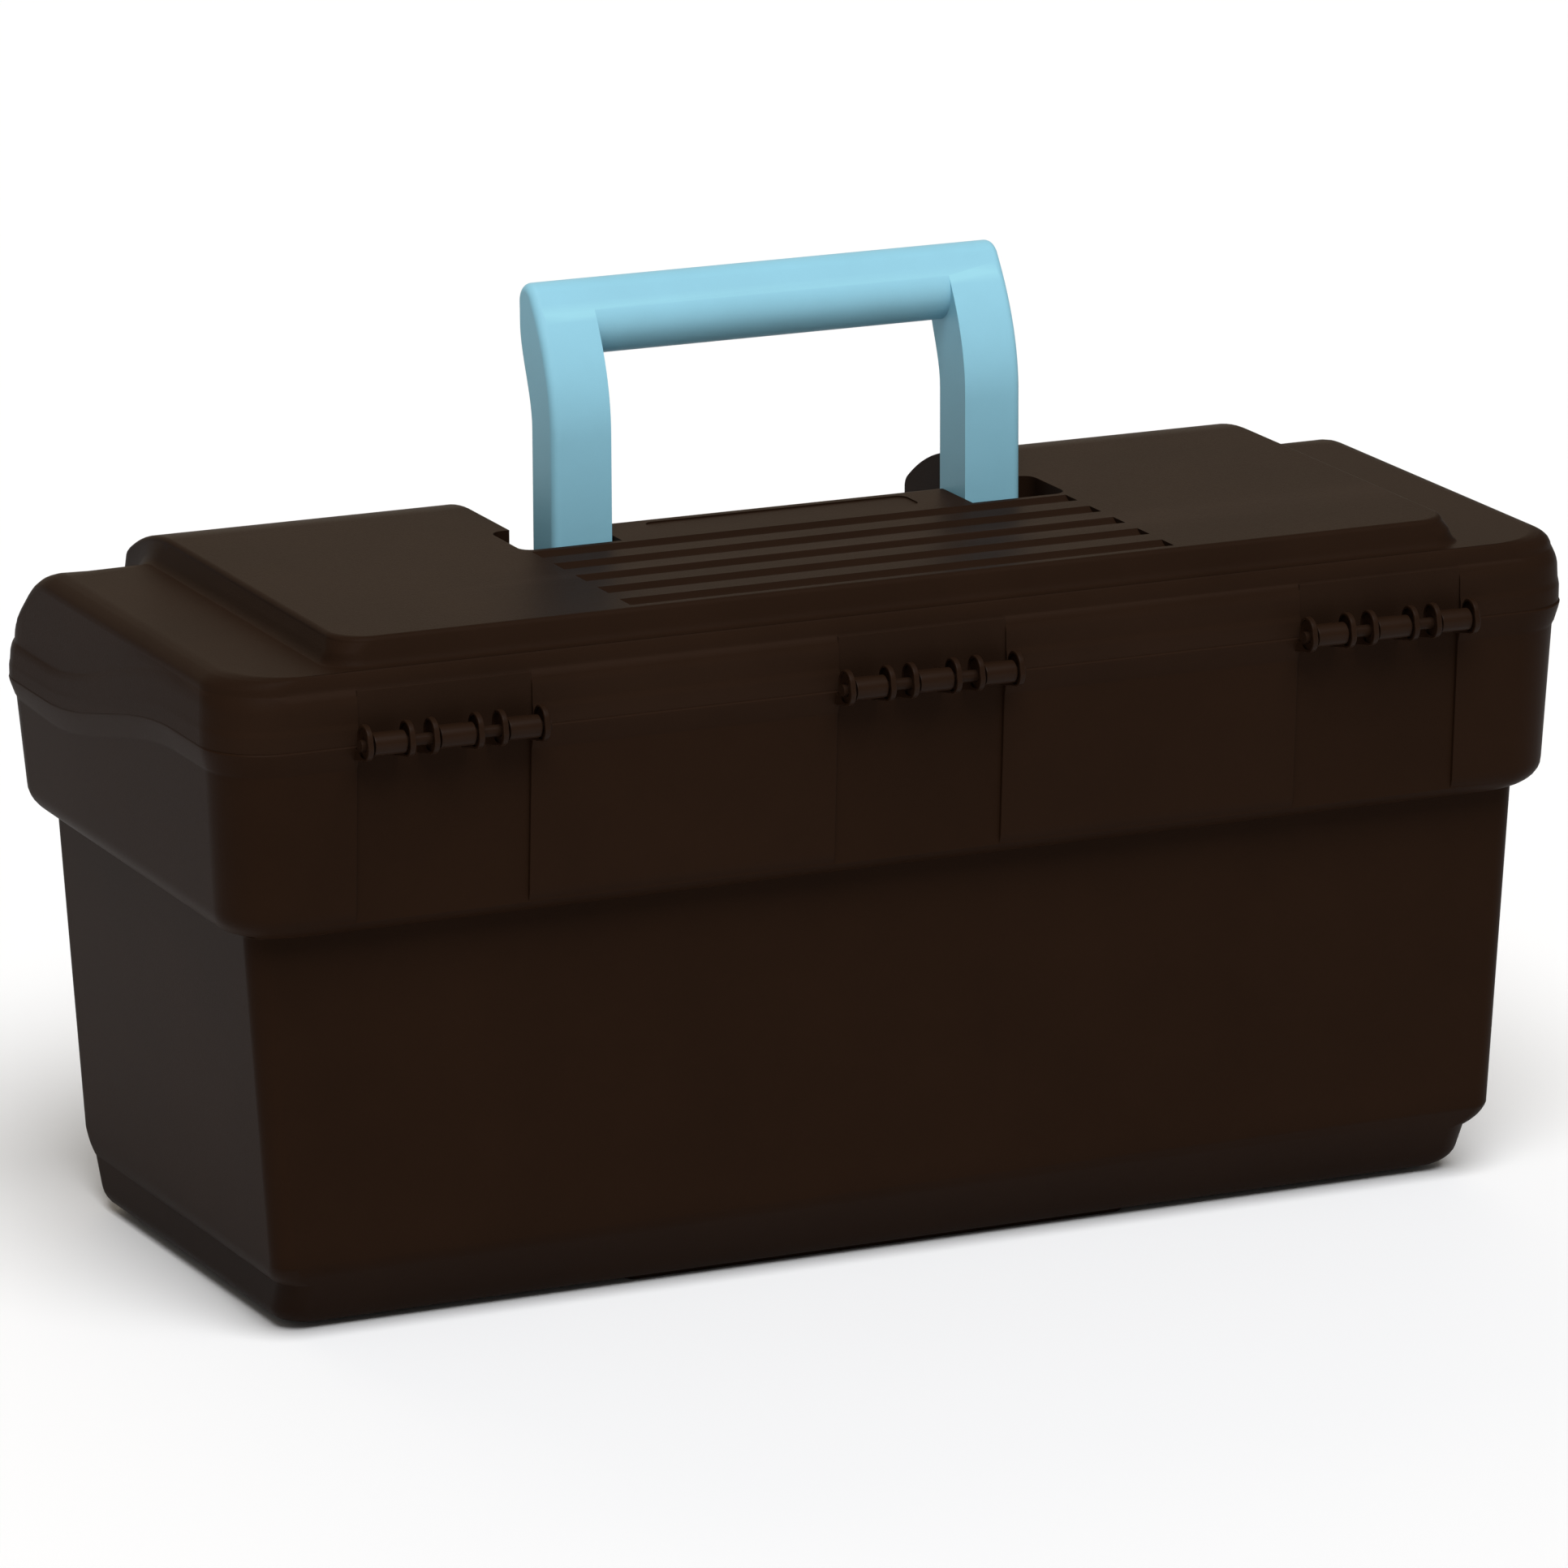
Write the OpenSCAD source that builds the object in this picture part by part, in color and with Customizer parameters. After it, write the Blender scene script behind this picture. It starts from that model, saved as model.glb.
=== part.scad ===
// Grooming box of moulded plastic: a tapered bin with a wide collar, a hinged lid and a folding handle.
// The rear, with the three hinges, faces +Y, the front with the latches faces -Y, and Z is up from the floor.

/* [Overall] */
// Length of the closed box over the rim
length = 407.2; // [397.2:1:417.2]
// Depth of the closed box over the rim
depth = 181.6; // [177.6:0.2:185.6]
// Height of the raised middle of the closed lid above the floor
lid_top = 196; // [194:0.5:199]
// Corner radius of the rim seen from above
rim_radius = 18; // [16:0.5:20]
// Thickness of the moulded walls
wall = 2.6; // [2.2:0.1:2.8]

/* [Bin] */
// Height of the collar from its underside to the rear rim
collar_height = 53.8; // [49:0.2:58]
// Distance of the lower collar behind the rim at the ends
collar_end = 3.8; // [3.4:0.1:4.2]
// Distance of the lower collar behind the rim at the front and rear
collar_side = 4; // [3.8:0.1:4.2]
// Step from the collar in to the bin at the ends
bin_end = 8.2; // [7.4:0.1:9]
// Step from the collar in to the bin at the front and rear
bin_side = 10.3; // [9.4:0.1:12]
// Taper of the bin at each end
bin_taper = 6.1; // [5:0.1:7.4]
// Step from the bin in to the plinth at the ends
plinth_end = 4.2; // [3.6:0.1:4.8]
// Height of the step at the top of the plinth
plinth_height = 14; // [12.5:0.5:15]
// Length of the foot pad under the bin
pad_length = 153.8; // [120:0.2:180]
// Depth of the foot pad
pad_depth = 122; // [100:1:126]
// Height of the foot pad
pad_height = 2; // [1.5:0.1:2.5]

/* [Parting line] */
// Height of the lid above the parting line at the rear
lid_height = 27; // [26.5:0.5:28.5]
// Drop of the parting line from the rear to the front
part_drop = 15; // [12:0.5:16]
// Open gap between the rim and the closed lid
part_gap = 0.4; // [0.3:0.05:0.5]
// Height of the lip that locates the lid
lip_height = 3; // [2:0.5:4]

/* [Lid] */
// Height of the raised middle above the lower step of the lid
block_rise = 7.5; // [6.5:0.5:8.5]
// Distance of the raised middle from the ends of the lid
block_margin = 33.6; // [31.6:0.2:36.6]
// Radius of the rounded front of the raised middle
block_round = 67; // [64:1:72]
// Number of grooves across the rear half of the lid
groove_count = 5; // [3:1:5]
// Distance of the last groove from the rear of the raised middle
groove_end = 9.2; // [8.8:0.1:11]
// Length of the grooves
groove_length = 163; // [140:1:180]
// Radius of the hollow of a groove
groove_radius = 5.5; // [5:0.1:6.5]
// Depth of a groove
groove_depth = 1.6; // [1:0.1:1.8]

/* [Hinges] */
// Distance of the outer hinges from the ends
hinge_margin = 63.6; // [59.6:1:73.6]
// Diameter of the hinge pins
pin_diameter = 3.2; // [2.8:0.1:3.6]
// Distance of the hinge pins behind the rim
pin_reach = 5.7; // [5.4:0.1:6.3]
// Thickness of one hinge ear
ear_thickness = 2.3; // [2:0.1:2.6]
// Diameter of one hinge ear
ear_diameter = 8.6; // [8.2:0.1:9]
// Outside diameter of the lid knuckles
knuckle_diameter = 6.2; // [5.8:0.1:6.6]
// Radial clearance of every running fit
running_gap = 0.05; // [0.03:0.01:0.08]

/* [Handle] */
// Free width between the handle legs
grip_gap = 108; // [100:1:112]
// Width of one handle leg
leg_width = 16.8; // [15:0.2:18]
// Depth of one handle leg
leg_depth = 16.7; // [15:0.1:17]
// Distance of the folded handle behind the front rim
handle_margin = 4.5; // [2:0.1:10]
// Height of the grip bar
bar_height = 20; // [18:0.2:21]
// Forward lean of the grip bar
handle_lean = 8; // [7:0.2:8.6]
// Diameter of the handle stub axles
stub_diameter = 7; // [6:0.5:8]

/* [Latches] */
// Place of the latches from the handle pocket to the ends, as a share of that distance
latch_share = 0.31; // [0.28:0.01:0.6]
// Width of one latch
latch_width = 34; // [28:1:38]
// Diameter of the latch pins
latch_pin_diameter = 3.2; // [2.8:0.1:3.6]
// Angle by which the latches stand open
latch_ajar = 14; // [12:1:16]

/* [Tray] */
// Height of the tray
tray_height = 26; // [22:0.5:28]
// Thickness of the tray walls
tray_wall = 1.8; // [1.5:0.1:2.2]
// Play of the tray beside the collar wall
tray_play = 1.5; // [1:0.1:2.5]
// Play of the resting tray above its ledge
tray_rest_gap = 0.3; // [0.2:0.05:0.4]

/* [Hidden] */
$fn = 48;
eps = 0.01;
ends = [-1, 1];

// Rim, collar, bin and plinth half sizes
rim_x = length / 2;
rim_y = depth / 2;
collar_x = rim_x - collar_end;
collar_y = rim_y - collar_side;
bin_x_top = collar_x - bin_end;
bin_x_low = bin_x_top - bin_taper;
bin_y = collar_y - bin_side;
plinth_x = bin_x_low - plinth_end;
part_rear = lid_top - lid_height;
part_front = part_rear - part_drop;
collar_low = part_rear - collar_height;
draw = 0.2;
bin_radius = 6;
collar_round = 8;
collar_radius = rim_radius - 2;
flange_proud = 1.8;
flange_edge = 1.6;
flange_radius = rim_radius - 1;
land = 3.4;
lip = 2.6;
floor_z = pad_height + wall;
ledge_drop = 1;
ledge_z = collar_low + wall + ledge_drop;

// Foot of the bin: a rounded plinth, stepped in at the rear ends, under a slanted lower wall
foot_round = 5;
foot_radius = 8;
foot_spread = 3.4;
foot_slant = 11.5;
slant_height = 20;
heel_round = 8;
function bin_rear(z) = bin_y - foot_slant * max(0, 1 - (z - pad_height) / slant_height);

// Parting line: a smooth step from the front height to the rear height
step_before = 43.6;
step_behind = 38.6;
step_front = -rim_y + step_before;
step_rear = rim_y - step_behind;
function ramp(t) = t * t * (3 - 2 * t);
function rise(y, from, to) = ramp(min(1, max(0, (y - from) / (to - from))));
function step_at(y) = rise(y, step_front, step_rear);
function parting(y) = part_front + part_drop * step_at(y);
band_bulge = 0.8;
band_crown = 0.94;
band_inside = 0.6;
band_front = 10;
band_rear = 14.1;
function band(y) = band_front + (band_rear - band_front) * step_at(y);
flange_front = 5.3;
flange_rear = 6.5;
flange_length = 48.6;
flange_full = -rim_y + flange_length;
function flange(y) = flange_front + (flange_rear - flange_front) * rise(y, -rim_y, flange_full);

// Lid heights: a flat top that rolls down to the front
tier_top = lid_top - block_rise;
tier_before = 43;
tier_front = -rim_y + tier_before;
tier_round = 24;
tier_slope = 40;
tier_side = 3.2;
tier_back = 2.2;
tier_fore = 1.8;
tier_edge = 3;
tier_radius = 19;
ledge_rise = 0.3;
function tier_drop(d) = d <= 0 ? 0
    : d < tier_round * sin(tier_slope) ? tier_round - sqrt(tier_round * tier_round - d * d)
    : tier_round * (1 - cos(tier_slope)) + (d - tier_round * sin(tier_slope)) * tan(tier_slope);
function tier(y) = tier_top - tier_drop(tier_front - y);
block_before = 46.8;
block_front = -rim_y + block_before;
function block_drop(d) = d <= 0 ? 0 : block_round - sqrt(block_round * block_round - d * d);
function block(y) = lid_top - block_drop(block_front - y);
block_x = rim_x - block_margin;
block_slope = 2.9;
block_back = 1.8;
block_fore = 0.4;
block_edge = 1.6;
block_radius = 10;
block_rear_inset = 6.6;
block_rear_foot = rim_y - block_rear_inset;
block_front_inset = 3.7;
block_front_foot = -rim_y + block_front_inset;
lid_wall = 3.4;
skirt = 3;

// Lofted shells: each ring is [half length, rear y, front y, corner radius, height rule, height, front spread]
fixed = 0;
rim_rule = 1;
flange_rule = 2;
band_rule = 3;
tier_rule = 4;
block_rule = 5;
ceiling_rule = 6;
corner_steps = 5;
side_steps = 24;
arc_steps = [0, 45, 90];
heel_steps = [60, 30, 0];
function height_at(rule, y, h) = rule == fixed ? h
    : rule == rim_rule ? parting(y) + h
    : rule == flange_rule ? parting(y) - h * flange(y)
    : rule == band_rule ? parting(y) + part_gap + h * band(y)
    : rule == tier_rule ? max(tier(y) + h, parting(y) + part_gap + band(y) + ledge_rise)
    : rule == ceiling_rule ? tier(y) + h
    : block(y) + h;
function side(x, yr, yf, r, w) = concat(
    [for (i = [0:corner_steps]) let (a = 90 - 90 * i / corner_steps) [x - r + r * cos(a), yr - r + r * sin(a)]],
    [for (i = [1:side_steps - 1]) [x + w * i / side_steps, yr - r + (yf - yr + 2 * r) * i / side_steps]],
    [for (i = [0:corner_steps]) let (a = -90 * i / corner_steps) [x + w - r + r * cos(a), yf + r + r * sin(a)]]
);
half_count = 2 * (corner_steps + 1) + side_steps - 1;
count = 2 * half_count;
function ring(s) = let (h = side(s[0], s[1], s[2], s[3], s[6])) concat(
    [for (p = h) [p[0], p[1], height_at(s[4], p[1], s[5])]],
    [for (i = [half_count - 1:-1:0]) [-h[i][0], h[i][1], height_at(s[4], h[i][1], s[5])]]
);
function wall_faces(n) = [for (k = [0:n - 2]) for (i = [0:count - 1]) for (t = [0:1])
    let (j = (i + 1) % count, a = k * count, b = a + count)
    t == 0 ? [a + i, a + j, b + j] : [a + i, b + j, b + i]];
function first_cap() = [for (i = [0:half_count - 2]) [count - 1 - i, count - 2 - i, i + 1, i]];
function last_cap(n) = let (a = (n - 1) * count)
    [for (i = [0:half_count - 2]) [a + i, a + i + 1, a + count - 2 - i, a + count - 1 - i]];
module shell(rings) {
    polyhedron(
        points = [for (s = rings) for (p = ring(s)) p],
        faces = concat(first_cap(), wall_faces(len(rings)), last_cap(len(rings))),
        convexity = 8
    );
}
function even(x, y, r, rule, h, spread = 0) = [x, y, -y, r, rule, h, spread];
function bare(x, rear, front, r, rule, h) = [x, rear, front, r, rule, h, 0];

// Hinge values
hinge_pitch = rim_x - hinge_margin;
pin_y = rim_y + pin_reach;
pin_rise = 1.5;
pin_z = part_rear + pin_rise;
ear_outer = 25.3;
ear_middle = 13.3;
ear_inner = 6.4;
ear_offsets = [-ear_outer, -ear_middle, -ear_inner, ear_inner, ear_middle, ear_outer];
knuckle_spans = [[-ear_outer, -ear_middle], [-ear_inner, ear_inner], [ear_middle, ear_outer]];
hinge_places = [-hinge_pitch, 0, hinge_pitch];
side_gap = 0.35;
pin_overhang = 0.8;
pin_length = 2 * ear_outer + ear_thickness + 2 * pin_overhang;
plate_short = 0.9;
plate_half = ear_outer - plate_short;
plate_inset = 1.4;
plate_y = rim_y - plate_inset;
plate_rise = 15.9;
plate_top = part_rear + plate_rise;
plate_drop = 1;
recess_inset = 0.1;
recess_y = collar_y - recess_inset;
arm_root = 1.2;
arm_gap = 0.7;
arm_drop = pin_rise + arm_gap;
knuckle_arm_low = 0.9;
knuckle_arm_high = 1.4;

// Handle values
pivot_y = -5.6;
pivot_depth = 11.5;
pivot_z = lid_top - pivot_depth;
leg_in = grip_gap / 2;
leg_out = leg_in + leg_width;
leg_foot = leg_depth / 2;
handle_top = pivot_z + rim_y + pivot_y - handle_margin;
bar_low = handle_top - bar_height;
bar_chamfer = 3;
lean_drop = 40.4;
lean_length = 29;
lean_start = handle_top - lean_drop;
lean_end = lean_start + lean_length;
rear_curve = 50;
profile_steps = 12;
crown = 6;
crown_y = pivot_y - leg_foot - handle_lean + crown;
crown_z = handle_top - crown;
crown_rise = 2;
function leg_front(z) = pivot_y - leg_foot - handle_lean * rise(z, lean_start, lean_end);
function leg_rear(z) = pivot_y + leg_foot - pow(max(0, z - lean_start), 2) / (2 * rear_curve);

// Pocket of the lid, with a hollow beside each handle leg, and the bar between the legs
slot_room = 6.2;
slot_x = leg_out + slot_room;
slot_rear = 8.6;
hollow_reach = 10.4;
hollow_x = slot_x + slot_room;
hollow_front = pivot_y - hollow_reach;
hollow_round = 4;
slot_play = 2;
slot_fall = 9;
slot_floor = pivot_z - leg_foot - slot_play;
slot_floor_front = slot_floor - slot_fall;
bend_before = 50.6;
dip_before = 26.6;
slot_bend = -rim_y + bend_before;
slot_dip = -rim_y + dip_before;
axle_gap = 0.4;
axle_x = leg_in - axle_gap;
axle_reach = 10.8;
axle_front = pivot_y - axle_reach;
axle_round = 6;
stub_length = 8;
stub_root = 1;
stub_play = 0.5;
core_x = axle_x - stub_length - stub_play - wall;
panel_x = 40;
panel_rear = 3.6;
panel_front = -8.6;
panel_depth = 0.4;

// Groove values
groove_margin = 6;
groove_first = slot_rear + groove_margin;
groove_pitch = (block_rear_foot - groove_end - groove_first) / (groove_count - 1);
groove_z = lid_top + groove_radius - groove_depth;

// Latch values
latch_place = slot_x + latch_share * (rim_x - slot_x);
latch_places = [-latch_place, latch_place];
latch_stand = 6.6;
latch_rise = 20.5;
latch_y = block_front_foot - latch_stand;
latch_z = part_front + latch_rise;
latch_barrel = 7;
latch_plate = 2.6;
latch_knee = 6;
latch_set = 1.5;
latch_out = latch_y - latch_set;
latch_tab = 6;
lug_thickness = 3;
lug_radius = 4.2;
lug_depth = 2;
lug_root = block_front_foot + lug_depth;
catch_drop = 5;
catch_top = part_front - catch_drop;
catch_height = 4;
catch_reach = 3;
catch_margin = 3;
catch_y = -rim_y - catch_reach;
catch_x = latch_width / 2 - catch_margin;
hook_gap = 0.5;
hook_height = 3;
hook_tip = 1;
hook_top = catch_top - catch_height - hook_gap;
hook_reach = 2.6;
hook_in = catch_y + hook_reach;
latch_pin_overhang = 0.6;
latch_pin_length = latch_width + 2 * (lug_thickness + side_gap + latch_pin_overhang);

// Tray values
tray_x = collar_x - wall - tray_play;
tray_y = collar_y - wall - tray_play;
tray_low = ledge_z + tray_rest_gap;
tray_radius = collar_radius - wall - tray_play;
tray_cells = 4;

// Rod along the length, centred at x
module rod(d, l, x, y, z) {
    translate([x - l / 2, y, z])
        rotate([0, 90, 0])
            cylinder(d = d, h = l);
}

// Prism along the length from an outline in y and z
module prism(l, x) {
    translate([x - l / 2, 0, 0])
        rotate([90, 0, 90])
            linear_extrude(height = l)
                children();
}

function foot_rings() = [for (i = [2:-1:0]) let (a = arc_steps[i], z = pad_height + foot_round * (1 - sin(a)))
    even(plinth_x - foot_round * (1 - cos(a)), bin_rear(z), foot_radius, fixed, z, foot_spread)];

function heel_rings() = [for (a = heel_steps) let (z = plinth_height + heel_round * (1 - sin(a)), in = heel_round * (1 - cos(a)))
    even(bin_x_low - in, bin_rear(z), bin_radius + in / 2, fixed, z, in)];

function collar_rings() = [for (a = heel_steps) let (in = collar_round * (1 - cos(a)))
    even(collar_x - in, collar_y - in, collar_radius, fixed, collar_low + collar_round * (1 - sin(a)))];

function rim_rings() = [
    even(rim_x - flange_proud, rim_y - flange_proud, flange_radius, flange_rule, 1),
    even(rim_x - draw, rim_y - draw, rim_radius, rim_rule, -flange_edge),
    even(rim_x, rim_y, rim_radius, rim_rule, 0),
    even(rim_x - land, rim_y - land, rim_radius - land, rim_rule, 0),
    even(rim_x - land - draw, rim_y - land - draw, rim_radius - land, rim_rule, lip_height),
    even(rim_x - land - lip, rim_y - land - lip, rim_radius - lip - draw, rim_rule, lip_height),
    even(rim_x - land - lip - draw, rim_y - land - lip - draw, rim_radius - lip - draw, rim_rule, -flange_rear)
];

function inside_rings() = [
    even(collar_x - wall, collar_y - wall, collar_radius - wall, fixed, collar_low + collar_round + wall),
    even(collar_x - wall - draw, collar_y - wall - draw, collar_radius - wall, fixed, ledge_z),
    even(bin_x_top - wall, bin_y - wall, bin_radius - wall / 2, fixed, ledge_z - ledge_drop),
    even(bin_x_low - wall, bin_y - wall, bin_radius - wall / 2, fixed, pad_height + slant_height + wall),
    even(plinth_x - wall, bin_rear(plinth_height) - wall, foot_radius - wall / 2, fixed, plinth_height + wall),
    even(plinth_x - wall - draw, bin_rear(floor_z) - wall, foot_radius - wall / 2, fixed, floor_z + wall),
    even(plinth_x - foot_round, bin_rear(pad_height) - wall, foot_radius - wall / 2, fixed, floor_z)
];

function bin_rings() = concat(
    foot_rings(),
    [even(plinth_x, bin_rear(plinth_height), foot_radius, fixed, plinth_height, foot_spread)],
    heel_rings(),
    [even(bin_x_low, bin_y, bin_radius, fixed, pad_height + slant_height)],
    [even(bin_x_top, bin_y, bin_radius, fixed, collar_low)],
    collar_rings(),
    rim_rings(),
    inside_rings()
);

module ear() {
    difference() {
        union() {
            translate([pin_y, pin_z])
                circle(d = ear_diameter);
            polygon([
                [pin_y - ear_diameter / 2 + eps, pin_z - arm_drop],
                [pin_y, pin_z - ear_diameter / 2],
                [recess_y - arm_root, pin_z - ear_diameter / 2 - arm_drop],
                [recess_y - arm_root, pin_z - arm_drop]
            ]);
        }
        translate([pin_y, pin_z])
            circle(d = pin_diameter + 2 * running_gap);
    }
}

module body() {
    color([0.16, 0.11, 0.08]) {
        difference() {
            union() {
                shell(bin_rings());
                translate([-pad_length / 2, -pad_depth / 2, 0])
                    cube([pad_length, pad_depth, floor_z - wall / 2]);
                for (x = latch_places)
                    translate([x - catch_x, catch_y, catch_top - catch_height])
                        cube([2 * catch_x, -rim_y + land - catch_y, catch_height]);
            }
            for (h = hinge_places)
                translate([h - plate_half, recess_y, collar_low])
                    cube([2 * plate_half, pin_reach + land + lip, lid_top - collar_low]);
        }
        for (h = hinge_places)
            for (e = ear_offsets)
                prism(ear_thickness, h + e)
                    ear();
    }
}

function band_rings() = [
    even(rim_x, rim_y, rim_radius, band_rule, 0),
    even(rim_x - 3 * draw, rim_y, rim_radius, band_rule, band_bulge),
    even(rim_x - 5 * draw, rim_y - 3 * draw, rim_radius, band_rule, band_crown),
    even(rim_x - 8 * draw, rim_y - 8 * draw, rim_radius + 1, band_rule, 1)
];

function tier_rings() = [for (a = arc_steps) let (in = tier_edge * (1 - cos(a)))
    bare(rim_x - tier_side - in, rim_y - tier_back - in / 2, -rim_y + tier_fore + in / 2, tier_radius, tier_rule,
        -tier_edge * (1 - sin(a)))];

function block_rings() = concat(
    [bare(block_x, block_rear_foot, block_front_foot, block_radius, tier_rule, 0)],
    [for (a = arc_steps) let (in = block_edge * (1 - cos(a)))
        bare(block_x - block_slope - in, block_rear_foot - block_back - in, block_front_foot + block_fore + in,
            block_radius, block_rule, -block_edge * (1 - sin(a)))]
);

function lid_outer() = concat(band_rings(), tier_rings(), block_rings());

function lid_inner() = [
    bare(block_x - lid_wall - block_slope, block_rear_foot - lid_wall - block_back,
        block_front_foot + 2 * lid_wall, block_radius - wall, block_rule, -lid_wall),
    bare(block_x - lid_wall, block_rear_foot - lid_wall, block_front_foot + lid_wall + 1,
        block_radius - wall, ceiling_rule, -lid_wall),
    bare(rim_x - tier_side - lid_wall, rim_y - tier_back - lid_wall, -rim_y + tier_fore + lid_wall,
        tier_radius - skirt, ceiling_rule, -lid_wall),
    even(rim_x - skirt - 1, rim_y - skirt - 1, rim_radius - skirt, band_rule, band_inside),
    even(rim_x - skirt, rim_y - skirt, rim_radius - skirt, band_rule, 0)
];

module knuckle() {
    translate([pin_y, pin_z])
        circle(d = knuckle_diameter);
    translate([plate_y - arm_root, pin_z - knuckle_arm_low])
        square([pin_y - plate_y + arm_root, knuckle_arm_low + knuckle_arm_high]);
}

module lug() {
    translate([latch_y, latch_z])
        circle(r = lug_radius);
    translate([latch_y, latch_z - lug_radius])
        square([lug_root - latch_y, 2 * lug_radius]);
}

module pocket(grow) {
    prism(2 * (slot_x + grow), 0)
        polygon([
            [slot_rear + grow, lid_top + eps],
            [slot_rear + grow, slot_floor - grow],
            [slot_bend, slot_floor - grow],
            [slot_dip, slot_floor_front - grow],
            [-rim_y - 1, slot_floor_front - grow],
            [-rim_y - 1, lid_top + eps]
        ]);
}

// Hollow beside a handle leg, with rounded corners
module hollow(grow) {
    x = hollow_x + grow - hollow_round;
    rear = slot_rear + grow - hollow_round;
    front = hollow_front - grow + hollow_round;
    translate([0, 0, slot_floor - grow])
        linear_extrude(height = lid_top - slot_floor + grow + eps)
            for (s = ends) {
                translate([s * (leg_out + x) / 2 - (x - leg_out) / 2, front - hollow_round])
                    square([x - leg_out, rear - front + 2 * hollow_round]);
                translate([s * (leg_out + x + hollow_round) / 2 - (x + hollow_round - leg_out) / 2, front])
                    square([x + hollow_round - leg_out, rear - front]);
                for (y = [front, rear])
                    translate([s * x, y])
                        circle(r = hollow_round);
            }
}

// Bar between the handle legs that holds the stub axles
module axle_bar() {
    low = slot_floor - wall / 2;
    difference() {
        prism(2 * axle_x, 0)
            union() {
                translate([axle_front + axle_round, lid_top - axle_round])
                    circle(r = axle_round);
                translate([axle_front, low])
                    square([slot_rear + wall / 2 - axle_front, lid_top - axle_round - low]);
                translate([axle_front + axle_round, low])
                    square([slot_rear + wall / 2 - axle_front - axle_round, lid_top - low]);
            }
        for (s = ends)
            rod(stub_diameter + 2 * running_gap, 2 * (stub_length + stub_play), s * axle_x, pivot_y, pivot_z);
        translate([-panel_x, panel_front, lid_top - panel_depth])
            cube([2 * panel_x, panel_rear - panel_front, axle_round]);
    }
}

module lid() {
    color([0.2, 0.14, 0.1])
        difference() {
            union() {
                difference() {
                    union() {
                        shell(concat(lid_inner(), lid_outer()));
                        intersection() {
                            shell(lid_outer());
                            union() {
                                pocket(wall);
                                hollow(wall);
                            }
                        }
                    }
                    pocket(0);
                    hollow(0);
                    for (g = [0:groove_count - 1])
                        rod(2 * groove_radius, groove_length, 0, groove_first + g * groove_pitch, groove_z);
                    for (h = hinge_places)
                        translate([h - plate_half, plate_y, part_rear - plate_drop])
                            cube([2 * plate_half, pin_reach, plate_top - part_rear + plate_drop]);
                }
                axle_bar();
                for (h = hinge_places)
                    for (k = knuckle_spans)
                        prism(k[1] - k[0] - ear_thickness - 2 * side_gap, h + (k[0] + k[1]) / 2)
                            knuckle();
                for (x = latch_places)
                    for (s = ends)
                        prism(lug_thickness, x + s * (latch_width / 2 + side_gap + lug_thickness / 2))
                            lug();
            }
            translate([-core_x, axle_front + wall, slot_floor - 2 * wall])
                cube([2 * core_x, slot_rear - axle_front - wall, lid_top - slot_floor + wall]);
            for (h = hinge_places)
                rod(pin_diameter + 2 * running_gap, pin_length, h, pin_y, pin_z);
            for (x = latch_places)
                rod(latch_pin_diameter + 2 * running_gap, latch_pin_length, x, latch_y, latch_z);
        }
}

module handle_profile() {
    rear_end = crown_z + crown_rise;
    rear = [for (i = [0:profile_steps]) let (z = pivot_z + (rear_end - pivot_z) * i / profile_steps) [leg_rear(z), z]];
    front = [for (i = [profile_steps:-1:0]) let (z = pivot_z + (crown_z - pivot_z) * i / profile_steps) [leg_front(z), z]];
    polygon(concat(rear, [[crown_y, rear_end]], front));
    translate([crown_y, crown_z])
        circle(r = crown);
    translate([pivot_y, pivot_z])
        circle(r = leg_foot);
}

// Opening under the grip bar, with the lower edges of the bar broken
module grip_window() {
    front = leg_front(bar_low);
    rear = leg_rear(bar_low);
    prism(grip_gap, 0)
        polygon([
            [front - depth, pivot_z - depth],
            [rear + depth, pivot_z - depth],
            [rear + depth, bar_low + bar_chamfer + depth],
            [rear - bar_chamfer, bar_low],
            [front + bar_chamfer, bar_low],
            [front - depth, bar_low + bar_chamfer + depth]
        ]);
}

module handle() {
    color([0.45, 0.68, 0.78]) {
        difference() {
            prism(2 * leg_out, 0)
                handle_profile();
            grip_window();
        }
        for (s = ends)
            rod(stub_diameter, stub_length + stub_root, s * (leg_in + (stub_root - stub_length) / 2), pivot_y, pivot_z);
    }
}

module hinge_pin(h) {
    color([0.13, 0.09, 0.07])
        rod(pin_diameter, pin_length, h, pin_y, pin_z);
}

module latch_outline() {
    translate([latch_y, latch_z])
        circle(d = latch_barrel);
    polygon([
        [latch_y - latch_barrel / 2, latch_z],
        [latch_out - latch_plate, latch_z - latch_knee],
        [latch_out - latch_plate, hook_top - hook_height - latch_tab],
        [latch_out, hook_top - hook_height - latch_tab],
        [latch_out, hook_top - hook_height],
        [hook_in, hook_top - hook_tip],
        [hook_in, hook_top],
        [latch_out, hook_top],
        [latch_out, latch_z - latch_knee],
        [latch_y + hook_tip, latch_z - latch_barrel / 3]
    ]);
}

module latch(x) {
    color([0.45, 0.68, 0.78])
        difference() {
            translate([0, latch_y, latch_z])
                rotate([-latch_ajar, 0, 0])
                    translate([0, -latch_y, -latch_z])
                        prism(latch_width, x)
                            latch_outline();
            rod(latch_pin_diameter + 2 * running_gap, latch_pin_length, x, latch_y, latch_z);
        }
}

module latch_pin(x) {
    color([0.6, 0.6, 0.62])
        rod(latch_pin_diameter, latch_pin_length, x, latch_y, latch_z);
}

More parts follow.
